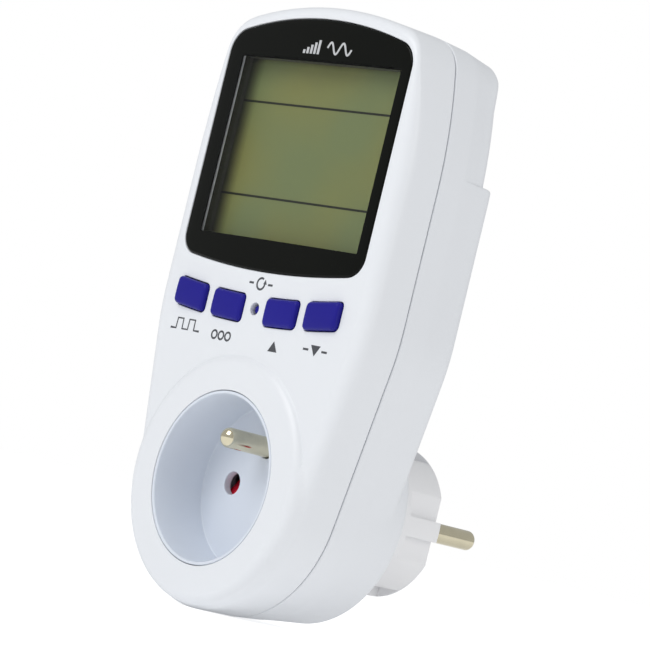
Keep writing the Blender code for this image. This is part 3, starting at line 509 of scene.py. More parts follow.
def front_case_shape(edge_radius):
    """The front half of the case: crowned face, raised ring, rounded edge, side wall, lip and openings.

    The edge's radius is less where the window comes near: 0.8 of the gap to it, less 0.3.
    """
    glass = window_loop()
    gap = np.hypot(*(OUTLINE - glass[:, None]).transpose(2, 0, 1)).min(0)
    radius = np.clip(0.8 * gap - 0.3, 1.0, edge_radius)
    loop = case_loop(radius)
    rows = []
    for a in np.linspace(0.0, math.pi / 2, 13)[1:]:
        edge = case_loop(radius * (1 - math.sin(a)))
        rows.append((edge, front_depth(edge, radius * (1 - math.cos(a)))))
    tongue, outer_row, inner_row = PARTING + 1.5, 8.0, 9.0
    edge, step, inside = case_loop(), case_loop(1.2), case_loop(WALL)
    rows += [(edge, outer_row), (edge, PARTING - SEAM), (case_loop(SEAM), PARTING), (step, PARTING)]
    rows += [(step, tongue), (inside, tongue), (inside, inner_row)]
    wall = np.minimum(WALL, 0.8 * radius)
    for a in QUARTER[:0:-1]:
        edge = case_loop(wall + (radius - wall) * (1 - math.sin(a)))
        rows.append((edge, face_depth(edge) + WALL + (radius - wall) * (1 - math.cos(a))))

    back = behind(face_depth, WALL)
    gap, seat, view_gap = 0.15, 1.45, 0.2
    side, low, high = VIEW
    ledge = window_loop(gap)
    view = boxed(ledge, side + view_gap, low - view_gap, high + view_gap)
    below = [(ledge, face_depth(ledge) + seat), (view, face_depth(view) + seat + 0.3), (view, back(view))]
    holes = [
        drilled((0.0, 0.0), RING_OPENING, 0.2, front_depth, [(RING_OPENING, 2.6)], 200),
        rounded_edge(lambda grow: window_loop(gap + grow), 0.3, face_depth, below),
        drilled((0.0, RESET_LEVEL), RESET_HOLE, 0.2, face_depth, [(RESET_HOLE, 2.7)], 48),
    ]
    key_gap, key_hole = 0.25, 1.7
    for centre in KEYS.values():
        hole = key_loop(centre, key_gap)
        below = [(hole, face_depth(hole) + key_hole)]
        holes.append(rounded_edge(lambda grow: key_loop(centre, key_gap + grow), 0.2, face_depth, below))

    radii = [21.8, 23.0, 24.4, 25.7, 26.8, 27.4, 27.95, 28.4, 28.7]
    radii += [28.9, 29.05, 29.2, 29.35, 29.5, 29.7, 30.1, 30.8]
    rings = np.concatenate([circle((0.0, 0.0), radius, 220) for radius in radii])
    loops = [loop] + [outer for outer, _ in holes]
    inner = spread(loops, 2.0, [(rings, 0.28)], lambda flat: np.hypot(*flat.T) > 31.8)
    shell = slab((loop, rows), holes, front_depth, back, inner)
    root, board = FACE + WALL - 0.4, 10.3
    posts = [post(x, z, 2.6, 1.25, root, PARTING) for x, z in CASE_SCREWS]
    posts += [post(x, z, 2.0, 1.25, root, board) for x in (-20.0, 20.0) for z in (50.0, 32.2)]
    return [shell, *posts]


def post(x, z, outer, bore, start, end):
    """A screw post: a tube between two depths, blind at its start."""
    bottom = start + math.copysign(2.0, end - start)
    profile = [(0.0, start), (outer, start), (outer, end), (bore, end), (bore, bottom), (0.0, bottom)]
    return turned(profile, (x, z), 32)


def rear_case_shape(edge_radius):
    """The rear half of the case: drafted wall, crease, rounded edge, stepped back, pad and screw wells."""
    edge_turns = np.linspace(math.pi / 2, 0.0, 11)
    reach = 26.4
    radius = np.interp(OUTLINE[:, 1], [98.0, 106.0], [edge_radius, WALL])
    inmost = case_loop(BACK_INSET + radius)
    loop = pushed(inmost, reach)
    rows = []
    for a in PAD_TURNS[3:]:
        on_pad = pushed(inmost, PAD_RADIUS - PAD_ROUNDING * (1 - math.sin(a)))
        rows.append((on_pad, back_depth(on_pad)))
    for a in edge_turns:
        edge = case_loop(BACK_INSET + radius * (1 - math.cos(a)))
        depth = back_level(edge) - radius * (1 - math.sin(a))
        rows.append((pushed(edge, pad_radius(depth)), depth))
    crease_inset = 0.45
    for share in (0.75, 0.5, 0.3, 0.15, 0.05):
        edge = case_loop(crease_inset + (BACK_INSET - crease_inset) * share)
        depth = CREASE + (back_level(edge) - radius - CREASE) * share
        rows.append((pushed(edge, np.where(depth > CREASE + 1.5, pad_radius(depth), 0.0)), depth))
    start = PARTING + 0.3
    rabbet = start + 1.9
    profile = [(0.43, CREASE - 0.6), (0.03, start + 0.6), (0.0, start + 0.25), (SEAM, start), (1.4, start)]
    profile += [(1.4, rabbet), (2.1, rabbet), (2.45, CREASE)]
    rows += [(case_loop(inset), depth) for inset, depth in profile]
    inner_radius = radius - WALL
    for a in np.linspace(0.0, math.pi / 2, 7):
        edge = case_loop(BACK_INSET + WALL + inner_radius * (1 - math.cos(a)))
        depth = back_level(edge) - WALL - inner_radius * (1 - math.sin(a))
        rows.append((pushed(edge, pad_radius(depth) - WALL), depth))

    screw_well = [(2.7, 20.5), (1.6, 20.5), (1.6, 14.9), (3.0, 14.9)]
    holes = [drilled(place, 2.7, 0.3, back_depth, screw_well, 48, -1) for place in CASE_SCREWS]
    mouth = PLUG_RADIUS + 0.3
    holes.append(drilled((0.0, 0.0), mouth, 0.4, back_depth, [(mouth, LOWER_BACK - 1.8)], 160, -1))

    radii = [20.4, 22.0, 23.8, 25.0, 25.7, 26.3, 26.8, 27.3, 27.7, 28.05]
    radii += [28.3, 28.48, 28.6, 28.66, 28.74, 28.85, 29.1, 29.6, 30.6]
    rings = np.concatenate([circle((0.0, 0.0), radius, 220) for radius in radii])
    levels = [-1.1, -0.8, -0.6, -0.4, -0.25, -0.12, -0.04, 0.0, 0.05, 0.15, 0.3, 0.55, 0.9]
    across = np.arange(-33.0, 33.1, 1.2)
    steps = np.stack(np.meshgrid(across, np.add(STEP, levels)), -1).reshape(-1, 2)
    loops = [loop] + [outer for outer, _ in holes]

    def open_area(flat):
        return (np.hypot(*flat.T) > 31.6) & (np.abs(flat[:, 1] - STEP) > 1.6)

    inner = spread(loops, 2.2, [(rings, 0.3), (steps, 0.5)], open_area)
    shell = slab((loop, rows), holes, back_depth, behind(back_depth, -WALL), inner)
    posts = [post(x, 36.5, 2.2, 1.25, MIDDLE_BACK - WALL + 0.4, 29.2) for x in (-22.0, 22.0)]
    return [shell, *posts]


def pane_shape(rounding):
    """The window: a crowned pane with a rounded front edge."""
    back = behind(face_depth, 1.2)
    edge = window_loop()
    rim = rounded_edge(lambda inset: window_loop(-inset), rounding, face_depth, [(edge, back(edge))])
    return slab(rim, [], face_depth, back, spread([rim[0]], 2.5))


def button_shape(centre, rounding):
    """A key: crowned top with soft round edges on a straight body bent to the arch."""
    top, foot, crowning = 0.05, 8.9, 0.14
    level = KEY_LEVEL + centre**2 / (2 * KEY_ARCH)

    def crown(flat):
        aside = (flat - (centre, level)) / KEY_HALF
        return top + crowning * (aside**2).sum(1)

    rim = rounded_edge(lambda inset: key_loop(centre, -inset), rounding, crown, [(key_loop(centre), foot)])
    return slab(rim, [], crown, flat_at(foot), spread([rim[0]], 0.8))


def socket_shape():
    """The socket's insert: thin lip, recess wall, floor with its three holes, barrel and rear pocket."""
    floor, floor_back, pocket, barrel = RECESS_DEPTH, RECESS_DEPTH + 2.0, 16.5, 21.75
    fillet, back, shoulder, hole_rounding = 0.35, 22.0, 3.7, 0.25
    wall, lip = RECESS_RADIUS, RECESS_RADIUS + 0.8
    profile = [(wall - fillet * (1 - math.sin(a)), floor - fillet * (1 - math.cos(a))) for a in QUARTER]
    profile += [(wall, 8.0), (wall, 0.45), (wall + 0.06, 0.25), (wall + 0.2, 0.12), (wall + 0.35, 0.08)]
    profile += [(lip - 0.2, 0.08), (lip - 0.06, 0.16), (lip, 0.32), (lip, shoulder), (barrel, shoulder)]
    profile += [(barrel, back), (pocket, back), (pocket, floor_back)]
    rows = [(circle((0.0, 0.0), radius, 192), depth) for radius, depth in profile]
    loop = circle((0.0, 0.0), pocket - 0.1, 192)
    holes = [
        drilled(place, radius, hole_rounding, flat_at(floor), [(radius, floor_back)], 64)
        for *place, radius in ((-PIN_X, 0.0, 2.75), (PIN_X, 0.0, 2.75), (0.0, EARTH_Z, PIN_RADIUS + 0.25))
    ]
    inner = spread([loop] + [outer for outer, _ in holes], 2.0)
    return slab((loop, rows), holes, flat_at(floor), flat_at(floor_back), inner)


def coil_shape(low, high, middle_depth):
    """A coil spring: a round wire along x = r cos t, depth = middle + r sin t, z rising evenly with t."""
    turns, coil, wire = 7, 1.28, 0.15
    turn = np.linspace(0.0, math.tau * turns, 24 * turns + 1)
    turn = np.concatenate([turn[:1], turn, turn[-1:]])
    thickness = np.full(len(turn), wire)
    thickness[[0, -1]] = 0.0
    outward = np.stack([np.cos(turn), np.sin(turn), np.zeros(len(turn))], 1)
    rise = low + wire + (high - low - 2 * wire) * turn / turn[-1]
    middle = outward * coil + np.stack([np.zeros(len(turn)), np.full(len(turn), middle_depth), rise], 1)
    around = np.arange(10)[:, None] * math.tau / 10
    section = np.cos(around) * outward[:, None] + np.sin(around) * np.array([0.0, 0.0, 1.0])
    return grid(middle[:, None] + section * thickness[:, None, None])


def shroud_radius(turn, depth):
    """Radius of the plug at an angle and a depth: round, less the side flats with ribs and the end slots.

    A flat leaves the greater of half_flat / |cos| and rib / |sin|, a slot the greater of floor / |sin| and
    half_slot / |cos|, never more than the plug's radius.
    """
    half_flat, rib, slot_floor, half_slot = 16.5, 2.4, 15.7, 3.2
    cosine, sine = np.abs(np.cos(turn)) + 1e-9, np.abs(np.sin(turn)) + 1e-9
    radius = np.full(len(turn), PLUG_RADIUS)
    if depth >= 47.75:
        radius = np.minimum(radius, np.maximum(half_flat / cosine, rib / sine))
    if 43.25 <= depth <= 57.15:
        radius = np.minimum(radius, np.maximum(slot_floor / sine, half_slot / cosine))
    return radius


def shroud_shape():
    """The plug's body: rounded face with its holes, sides with flats, ribs and slots, flange and hollow.

    The angles include the corners of the flats, ribs, slots and flange notches.
    """
    corners = [7.0, 7.46, 7.6, 7.9, 8.26, 8.4, 26.9, 27.2, 45.6, 45.8, 70.3, 70.5]
    corners += [78.3, 78.48, 79.0, 79.5, 80.04]
    quarter = np.radians([*range(0, 91, 3), *corners])
    turn = np.unique(np.round(np.concatenate([quarter, math.pi - quarter]), 6))
    turn = np.concatenate([turn, turn[1:-1] + math.pi])
    rounding, hollow, wall_front, flange_back, flange_front = 1.0, 14.5, 54.0, 35.9, 33.7
    rows = []
    for a in QUARTER[::-1]:
        radius = shroud_radius(turn, PLUG_FACE) - rounding * (1 - math.cos(a))
        rows.append((radius, PLUG_FACE - rounding * (1 - math.sin(a))))
    for depth in (57.2, 57.15, 52.0, 47.75, 47.7, 45.5, 43.25, 43.2, 40.0, 37.0, 36.3, 36.2):
        rows.append((shroud_radius(turn, depth), depth))
    cable_side = np.degrees(np.arccos(np.abs(np.cos(turn))))
    notch = (cable_side > 45.7) & (cable_side < 70.4) & (np.sin(turn) > 0)
    flange = np.where(notch, PLUG_RADIUS, PLUG_RADIUS + 2.3)
    front = np.where(notch, 36.1, flange_front)
    inside = np.full(len(turn), hollow)
    rows += [(flange, np.where(notch, 36.15, flange_back)), (flange, front)]
    rows += [(inside, front), (inside, wall_front)]
    unit = np.stack([np.cos(turn), np.sin(turn)], 1)
    rows = [(unit * radius[:, None], depth) for radius, depth in rows]
    face = flat_at(PLUG_FACE)
    pin = PIN_RADIUS + 0.1
    holes = [
        drilled(place, radius, 0.2, face, [(radius, wall_front)], 56, -1)
        for *place, radius in ((-PIN_X, 0.0, pin), (PIN_X, 0.0, pin), (0.0, EARTH_Z, 3.4))
    ]
    loop = unit * (hollow - 0.1)
    inner = spread([loop] + [outer for outer, _ in holes], 2.0)
    return slab((loop, rows), holes, face, flat_at(wall_front), inner)


def plug_pin_shape(x):
    """A plug pin: round tip, shaft, flange behind the face and solder tail."""
    end, seat, flange, tail = PLUG_FACE + PIN_LENGTH, 53.7, 52.0, 46.0
    tip = [(PIN_RADIUS * math.sin(a) ** 0.8, end - 1.6 * (1 - math.cos(a))) for a in QUARTER]
    profile = [*tip, (PIN_RADIUS, PLUG_FACE + 8.0), (PIN_RADIUS, seat), (3.6, seat), (3.6, flange)]
    profile += [(1.4, flange), (1.4, tail), (0.0, tail)]
    return turned(profile, (x, 0.0), 64)


def earth_contact_shape():
    """The earth pin of the socket: domed tip, shaft, its collar and the long tail to the plug."""
    pin, tip_depth, collar = PIN_RADIUS, RECESS_DEPTH - 14.0, RECESS_DEPTH + 2.3
    turns = np.linspace(0.0, math.pi / 2, 14)
    tip = [(pin * math.sin(a), tip_depth + 1.9 * (1 - math.cos(a))) for a in turns]
    profile = [*tip, (pin, collar), (3.7, collar), (3.7, 19.0), (pin, 19.0), (pin, 36.0)]
    profile += [(1.5, 36.0), (1.5, 42.8), (0.0, 42.8)]
    return turned(profile, (0.0, EARTH_Z), 64)


def earth_sleeve_shape():
    """The earth tube in the plug's face: a thin sleeve with rounded lips."""
    bore, outside, start, end = 2.5, 3.1, 45.2, PLUG_FACE - 1.0
    profile = [(bore, start), (2.9, start - 0.2), (outside, start), (outside, end), (2.95, end + 0.2)]
    profile += [(2.65, end + 0.2), (bore, end), (bore, start)]
    return turned(profile, (0.0, EARTH_Z), 64)


# ---------------------------------------------------------------- printed marks


def print_shape(loops):
    """A film of ink on the front: an outline and any holes in it, following the crowned face."""
    top, bottom = (behind(face_depth, ink) for ink in (-0.03, 0.03))
    edges = [(loop, []) for loop in loops]
    return slab(edges[0], edges[1:], top, bottom, np.empty((0, 2)))


def stroke(points, width):
    """The outline of a line through points: each moved half a width to both sides along the mean normal."""
    points = np.array(points, float)
    along = np.gradient(points, axis=0)
    along /= np.hypot(*along.T)[:, None]
    aside = np.stack([-along[:, 1], along[:, 0]], 1) * width / 2
    return np.concatenate([points + aside, (points - aside)[::-1]])


def bar(x, z, width, height):
    """An upright rectangle by its lower left corner, width and height."""
    return np.array([(x, z), (x + width, z), (x + width, z + height), (x, z + height)])


def face_marks():
    """Plain signs by the buttons: a pulse, a stack of discs, an up and a down arrow and a turning arrow."""
    marks = []
    steps = [-5.6, -3.5, -3.4, -1.2, -1.1, 1.1, 1.2, 3.4, 3.5, 5.6]
    pulse = np.stack([steps, np.repeat([0.0, 2.5, 0.0, 2.5, 0.0], 2)], 1)
    marks.append([stroke(pulse + (KEYS["function"], 32.8), 0.5)])
    for shift in (-2.5, 0.0, 2.5):
        place = (KEYS["cost"] + shift, 32.9)
        marks.append([circle(place, 1.2, 28), circle(place, 0.72, 28)])
    for side, key, level in ((1, "up", 32.5), (-1, "down", 33.4)):
        arrow = np.array([(-1.6, -1.2), (1.6, -1.2), (0.0, 1.3)]) * (1, side) + (KEYS[key], level)
        marks.append([arrow])
    for start in (-4.0, 2.2):
        marks.append([bar(KEYS["down"] + start, level - 0.25, 1.8, 0.5)])
    middle = (0.2, 46.4)
    turning = on_circle(middle, 1.35, np.linspace(math.radians(60), math.radians(360), 24))
    marks.append([stroke(turning, 0.5)])
    marks.append([np.array([(0.85, 0.0), (2.05, 0.0), (1.4, 1.15)]) + middle])
    for side in (-1, 1):
        marks.append([bar(middle[0] + 3.4 * side - 0.8, middle[1] - 0.25, 1.6, 0.5)])
    return [print_shape(loops) for loops in marks]


def bezel_marks():
    """A plain sign over the display: five rising bars and a mains wave."""
    foot = 101.6
    marks = [[bar(-5.0 + 1.25 * i, foot, 0.8, 0.9 + 0.62 * i)] for i in range(5)]
    along = np.linspace(0.0, 1.0, 40)
    wave = np.stack([3.4 + 8.4 * along, foot + 1.7 + 1.35 * np.sin(along * 2 * math.tau)], 1)
    marks.append([stroke(wave, 0.55)])
    return [print_shape(loops) for loops in marks]


# ---------------------------------------------------------------- materials


class Value:
    """A socket of a material's tree that turns arithmetic into Math nodes."""

    def __init__(self, finish, socket):
        self.finish = finish
        self.socket = socket

    def math(self, operation, *others):
        inputs = dict(enumerate((self, *others)))
        return self.finish.node("ShaderNodeMath", {"operation": operation}, inputs)

    def __add__(self, other):
        return self.math("ADD", other)

    def __sub__(self, other):
        return self.math("SUBTRACT", other)

    def __rsub__(self, other):
        return self * -1.0 + other

    def __mul__(self, other):
        return self.math("MULTIPLY", other)

    def __gt__(self, other):
        return self.math("GREATER_THAN", other)

    def __lt__(self, other):
        return self.math("LESS_THAN", other)

    __radd__ = __add__
    __rmul__ = __mul__


class Finish:
    """A material being made: its nodes, the object's own coordinates and one main shader."""

    def __init__(self, name, **shader):
        self.material = bpy.data.materials.new(name)
        self.material.use_nodes = True
        self.tree = self.material.node_tree
        self.shader = self.tree.nodes["Principled BSDF"]
        self.main = Value(self, self.shader.outputs["BSDF"])
        self.place = self.node("ShaderNodeTexCoord", output="Object")
        self.set(**shader)

    def node(self, kind, settings=(), inputs=(), output=0):
        """One output of a new node, made with its settings first, then values or links for its sockets."""
        made = self.tree.nodes.new(kind)
        for key, value in dict(settings).items():
            if key == "stops":
                ramp = made.color_ramp.elements
                ramp[0].position, ramp[-1].position = value[0][0], value[-1][0]
                for position, _ in value[1:-1]:
                    ramp.new(position)
                for element, (_, colour) in zip(ramp, value):
                    element.color = (*colour, 1.0)
            else:
                setattr(made, key, value)
        for key, value in dict(inputs).items():
            self.feed(made.inputs[key], value)
        return Value(self, made.outputs[output])

    def feed(self, socket, value):
        if isinstance(value, Value):
            self.tree.links.new(value.socket, socket)
        elif socket.type == "RGBA" and len(value) == 3:
            socket.default_value = (*value, 1.0)
        else:
            socket.default_value = value

    def set(self, **sockets):
        """Values or links for the main shader, by socket name with _ for a space."""
        for key, value in sockets.items():
            self.feed(self.shader.inputs[key.replace("_", " ").title().replace("Ior", "IOR")], value)
        return self

    def noise(self, scale, detail=2.0, stretch=None):
        """Noise from 0 to 1 with this many features a metre, scaled along the axes by a stretch."""
        place = self.place
        if stretch:
            place = self.node("ShaderNodeMapping", inputs={"Vector": place, "Scale": stretch})
        return self.node("ShaderNodeTexNoise", inputs={"Vector": place, "Scale": scale, "Detail": detail})

    def axis(self, name):
        """One coordinate in millimetres."""
        return self.node("ShaderNodeSeparateXYZ", inputs={"Vector": self.place}, output=name) * 1000.0

    def ramp(self, value, *stops):
        return self.node("ShaderNodeValToRGB", {"stops": stops}, {"Fac": value})

    def mixed(self, share, a, b):
        return self.node("ShaderNodeMix", {"data_type": "RGBA"}, {0: share, 6: a, 7: b}, output=2)

    def range(self, value, low, high, new_low=0.0, new_high=1.0):
        """A value carried from one range to another, clamped."""
        return self.node("ShaderNodeMapRange", inputs={0: value, 1: low, 2: high, 3: new_low, 4: new_high})

    def bumped(self, height, micrometres):
        """A bump of this height where the pattern is 1."""
        return self.set(
            normal=self.node("ShaderNodeBump", inputs={"Height": height, "Distance": micrometres * 1e-6})
        )


def tints(colour, spread_by):
    """A colour and its darker and lighter neighbours."""
    return [tuple(min(1.0, c * k) for c in colour) for k in (1 - spread_by, 1 + spread_by)]


def moulded(name, colour, roughness, grain=9.0, variation=0.025, specular=0.5):
    """Injection-moulded plastic: fine spark texture, faint flow marks in the tint, uneven sheen.

    The colour may be the name of one that the user can change.
    """
    if isinstance(colour, str):
        colour = getattr(bpy.context.scene.meter_colours, colour)
    finish = Finish(name, specular_ior_level=specular)
    low, high = tints(colour, variation)
    flow = finish.noise(38.0, 3.0)
    grains = finish.noise(4200.0, 2.0)
    finish.set(
        base_color=finish.mixed(flow, low, high),
        roughness=finish.range(finish.noise(900.0, 3.0), 0.3, 0.7, roughness - 0.04, roughness + 0.05),
    )
    return finish.bumped(grains, grain)


def worked_metal(name, colour, roughness, stretch=(1.0, 0.06, 1.0), tarnish=0.12):
    """Drawn or turned metal: fine lines along the work, a little tarnish in patches."""
    finish = Finish(name, metallic=1.0)
    low, high = tints(colour, tarnish)
    lines = finish.noise(5200.0, 2.0, stretch)
    patches = finish.noise(260.0, 4.0)
    finish.set(
        base_color=finish.mixed(patches, low, high),
        roughness=finish.range(lines * 0.6 + patches * 0.4, 0.35, 0.65, roughness - 0.05, roughness + 0.08),
    )
    return finish.bumped(lines, 1.6)


def pane_finish(name):
    """Clear acrylic with a faint gloss, printed black behind all but the view."""
    finish = Finish(name, ior=1.49, specular_ior_level=0.1)
    x, y, z = (finish.axis(axis) for axis in "XYZ")
    behind_face = y + (PLUG_FACE - FACE) - x * x * (1.0 / FACE_CROWN)
    in_front = behind_face < 0.7

    def inside(left, right, low, high):
        return (x > left) * (x < right) * (z > low) * (z < high)

    side, low, high = VIEW
    at_back = inside(-side, side, low, high) * (1.0 - in_front)
    clear = at_back + inside(1.1 - side, side + 1.4, low - 0.2, high + 0.2) * in_front
    film = finish.noise(30.0, 2.0)
    finish.set(
        base_color=finish.mixed(film, (0.0035, 0.0042, 0.0032), (0.0055, 0.006, 0.0048)),
        roughness=finish.range(finish.noise(140.0, 4.0), 0.3, 0.7, 0.05, 0.1),
    )
    through = finish.node("ShaderNodeBsdfTransparent")
    gloss = finish.node("ShaderNodeBsdfGlossy", inputs={"Roughness": 0.06})
    glass = finish.node("ShaderNodeMixShader", inputs={0: 0.02, 1: through, 2: gloss})
    print_and_glass = finish.node("ShaderNodeMixShader", inputs={0: clear, 1: finish.main, 2: glass})
    finish.tree.links.new(print_and_glass.socket, finish.tree.nodes["Material Output"].inputs["Surface"])
    return finish


def lcd_finish(name):
    """A reflective liquid crystal cell: olive, faint clouds, a painted shadow darkening its left and top
    edges, and two thin seams.
    """
    finish = Finish(name, specular_ior_level=0.25)
    x, z = finish.axis("X"), finish.axis("Z")
    clouds = finish.noise(34.0, 1.0)
    stops = (0.34, (0.156, 0.191, 0.078)), (0.5, (0.181, 0.197, 0.066)), (0.66, (0.204, 0.2, 0.057))
    olive = finish.ramp(clouds, *stops)
    grid_lines = finish.noise(2600.0, 2.0)
    upper, lower = (z.math("SUBTRACT", level).math("ABSOLUTE") < 0.27 for level in (89.9, 67.2))
    # Painted shadow: the cell's colour is darkened towards its left edge and its top edge, standing in for
    # the shade of the display well's wall and the bezel.
    edge = finish.range(x, -28.4, -23.8, 0.9, 0.0) + finish.range(z, 99.0, 100.4, 0.0, 0.4)
    shaded = finish.mixed(edge, olive, (0.012, 0.014, 0.007))
    finish.set(
        base_color=finish.mixed(upper + lower, shaded, (0.005, 0.006, 0.003)),
        roughness=finish.range(grid_lines, 0.3, 0.7, 0.3, 0.42),
    )
    return finish.bumped(grid_lines, 0.5)


def board_finish(name):
    """Solder mask over copper tracks: raised lighter lines on green, with glass weave showing faintly."""
    finish = Finish(name, specular_ior_level=0.5)
    voronoi = {"Vector": finish.place, "Scale": 260.0}
    cell = finish.node("ShaderNodeTexVoronoi", {"feature": "DISTANCE_TO_EDGE"}, voronoi)
    track = cell < 0.09
    weave = finish.noise(1800.0, 2.0)
    finish.set(
        base_color=finish.mixed(track * 0.7 + weave * 0.15, (0.012, 0.12, 0.045), (0.05, 0.30, 0.12)),
        roughness=finish.range(weave, 0.3, 0.7, 0.28, 0.45),
    )
    return finish.bumped(track + weave * 0.2, 35.0)


def striped(name, colour, line_colour, axis, pitch, roughness):
    """Parallel lines of two colours at a pitch in millimetres along one axis."""
    finish = Finish(name)
    wave = (finish.axis(axis) * (math.tau / pitch)).math("SINE")
    share = finish.range(wave, -0.3, 0.3)
    grain = finish.noise(3000.0, 2.0)
    finish.set(
        base_color=finish.mixed(share, colour, line_colour),
        roughness=finish.range(grain, 0.3, 0.7, roughness - 0.05, roughness + 0.07),
    )
    return finish.bumped(share, 40.0)


FINISHES = {
    "case_white": (moulded, "case", 0.36, 7.0, 0.012),
    "insert_white": (moulded, "socket", 0.4, 7.0, 0.015),
    "plug_white": (moulded, "plug", 0.42, 9.0, 0.02),
    "window_black": (pane_finish,),
    "lcd_glass": (lcd_finish,),
    "key_blue": (moulded, "buttons", 0.42, 12.0, 0.10, 0.22),
    "shutter_red": (moulded, "shutter", 0.25, 5.0, 0.10),
    "nickel": (worked_metal, (0.74, 0.68, 0.50), 0.13),
    "contact_brass": (worked_metal, (0.78, 0.57, 0.26), 0.3),
    "copper": (worked_metal, (0.85, 0.42, 0.26), 0.34),
    "steel": (worked_metal, (0.56, 0.56, 0.55), 0.34, (1.0, 1.0, 0.3)),
    "board_green": (board_finish,),
    "carrier_grey": (moulded, (0.026, 0.028, 0.019), 0.5, 12.0, 0.08),
    "black_plastic": (moulded, (0.02, 0.02, 0.022), 0.5, 16.0, 0.2),
    "carbon": (moulded, (0.015, 0.015, 0.016), 0.72, 30.0, 0.3),
    "strip_pink": (striped, (0.62, 0.36, 0.38), (0.10, 0.08, 0.09), "X", 0.6, 0.65),
    "film_yellow": (moulded, (0.72, 0.48, 0.05), 0.38, 14.0, 0.10),
    "sleeve_blue": (moulded, (0.03, 0.08, 0.28), 0.36, 10.0, 0.12),
    "battery_green": (striped, (0.05, 0.30, 0.10), (0.04, 0.24, 0.09), "X", 4.0, 0.35),
    "resistor_body": (striped, (0.42, 0.50, 0.55), (0.16, 0.05, 0.03), "Z", 3.6, 0.5),
    "wire_brown": (moulded, (0.16, 0.06, 0.02), 0.42, 8.0, 0.12),
    "wire_blue": (moulded, (0.02, 0.08, 0.35), 0.42, 8.0, 0.12),
    "ribbon_grey": (striped, (0.50, 0.51, 0.52), (0.34, 0.35, 0.37), "X", 1.27, 0.55),
    "ink_grey": (moulded, "signs", 0.55, 4.0, 0.10),
    "ink_light": (moulded, (0.52, 0.53, 0.54), 0.5, 4.0, 0.05),
}


def finish_of(slot):
    """The material of a slot, made the first time it is asked for."""
    name = "finish_" + slot
    maker, *values = FINISHES[slot]
    return bpy.data.materials.get(name) or maker(name, *values).material


def placed(name, shapes, slot, body, *nodes, record_slot=None, sharp=38.0):
    """A finished piece, riding on a body and standing for CAD nodes."""
    piece = shown(name, shapes, finish_of(slot), sharp)
    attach(piece, body)
    if nodes:
        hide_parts(*nodes)
    return piece


# ---------------------------------------------------------------- add-on


def length_property(name, description, default):
    return FloatProperty(
        name=name, description=description, default=default, min=0.0002, max=0.006, unit="LENGTH"
    )


def colour_property(name, description, default):
    return FloatVectorProperty(
        name=name, description=description, default=default, size=3, subtype="COLOR", min=0.0, max=1.0
    )


class MeterSizes(bpy.types.PropertyGroup):
    front_edge: length_property("Front Edge", "Radius of the case's front edge", 0.0035)
    back_edge: length_property("Back Edge", "Radius of the case's back edge", 0.004)
    window_edge: length_property("Window Edge", "Radius of the window's edge", 0.00045)
    button_edge: length_property("Button Edge", "Radius of the buttons' edges", 0.0008)


class MeterColours(bpy.types.PropertyGroup):
    case: colour_property("Case", "White of the case", (0.80, 0.82, 0.85))
    socket: colour_property("Socket", "White of the recessed socket", (0.72, 0.765, 0.84))
    plug: colour_property("Plug", "White of the plug", (0.86, 0.86, 0.87))
    buttons: colour_property("Buttons", "Blue of the rubber buttons", (0.009, 0.006, 0.238))
    shutter: colour_property("Shutter", "Red of the shutter behind the pin holes", (0.78, 0.02, 0.05))
    signs: colour_property("Signs", "Ink of the signs on the face", (0.06, 0.063, 0.072))


def light_property(name, description, default, unit="NONE"):
    return FloatProperty(name=name, description=description, default=default, min=0.0, unit=unit)


class MeterStage(bpy.types.PropertyGroup):
    room: light_property("Room Light", "Strength of the even light all round", 0.5)
    key: light_property("Key Light", "Power of the large light at the front", 5.7, "POWER")
    side: light_property("Side Light", "Power of the light on the plug's side", 1.95, "POWER")
    floor_colour: colour_property("Floor", "Colour of the floor", (0.93, 0.93, 0.935))


class METER_OT_case(bpy.types.Operator):
    """Make the two halves of the case"""

    bl_idname = "meter.case"
    bl_label = "Case"

    def execute(self, context):
        sizes = context.scene.meter_sizes
        placed("case_front", front_case_shape(sizes.front_edge / MM), "case_white", BODY, "front_shell")
        placed("case_rear", rear_case_shape(sizes.back_edge / MM), "case_white", BODY, "rear_shell")
        return {"FINISHED"}


class METER_OT_window(bpy.types.Operator):
    """Make the display window with its black print"""

    bl_idname = "meter.window"
    bl_label = "Window"

    def execute(self, context):
        shape = pane_shape(context.scene.meter_sizes.window_edge / MM)
        placed("window_pane", [shape], "window_black", BODY, "display_window")
        return {"FINISHED"}


class METER_OT_buttons(bpy.types.Operator):
    """Make the four long buttons"""

    bl_idname = "meter.buttons"
    bl_label = "Buttons"

    def execute(self, context):
        rounding = context.scene.meter_sizes.button_edge / MM
        for name, centre in KEYS.items():
            shape = button_shape(centre, rounding)
            placed("button_" + name, [shape], "key_blue", name + "_key", "key_" + name)
        return {"FINISHED"}


class METER_OT_socket(bpy.types.Operator):
    """Make the recessed socket and its earth pin"""

    bl_idname = "meter.socket"
    bl_label = "Socket"

    def execute(self, context):
        placed("socket_well", [socket_shape()], "insert_white", BODY, "socket_insert")
        placed("earth_contact", [earth_contact_shape()], "nickel", BODY, "earth_pin")
        low, high = (Vector(corner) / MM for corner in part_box("shutter_spring"))
        middle = (low.y + high.y) / 2
        shape = coil_shape(low.z, high.z, middle + PLUG_FACE)
        spring = placed("shutter_coil", [shape], "steel", BODY, "shutter_spring")
        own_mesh(spring)
        return {"FINISHED"}


class METER_OT_plug(bpy.types.Operator):
    """Make the plug body, its two pins and the earth sleeve"""

    bl_idname = "meter.plug"
    bl_label = "Plug"

    def execute(self, context):
        placed("plug_shroud", [shroud_shape()], "plug_white", BODY, "plug_body", sharp=30.0)
        placed("pin_line", [plug_pin_shape(-PIN_X)], "nickel", BODY, "plug_pin_line")
        placed("pin_neutral", [plug_pin_shape(PIN_X)], "nickel", BODY, "plug_pin_neutral")
        placed("earth_sleeve", [earth_sleeve_shape()], "contact_brass", BODY, "earth_tube")
        return {"FINISHED"}


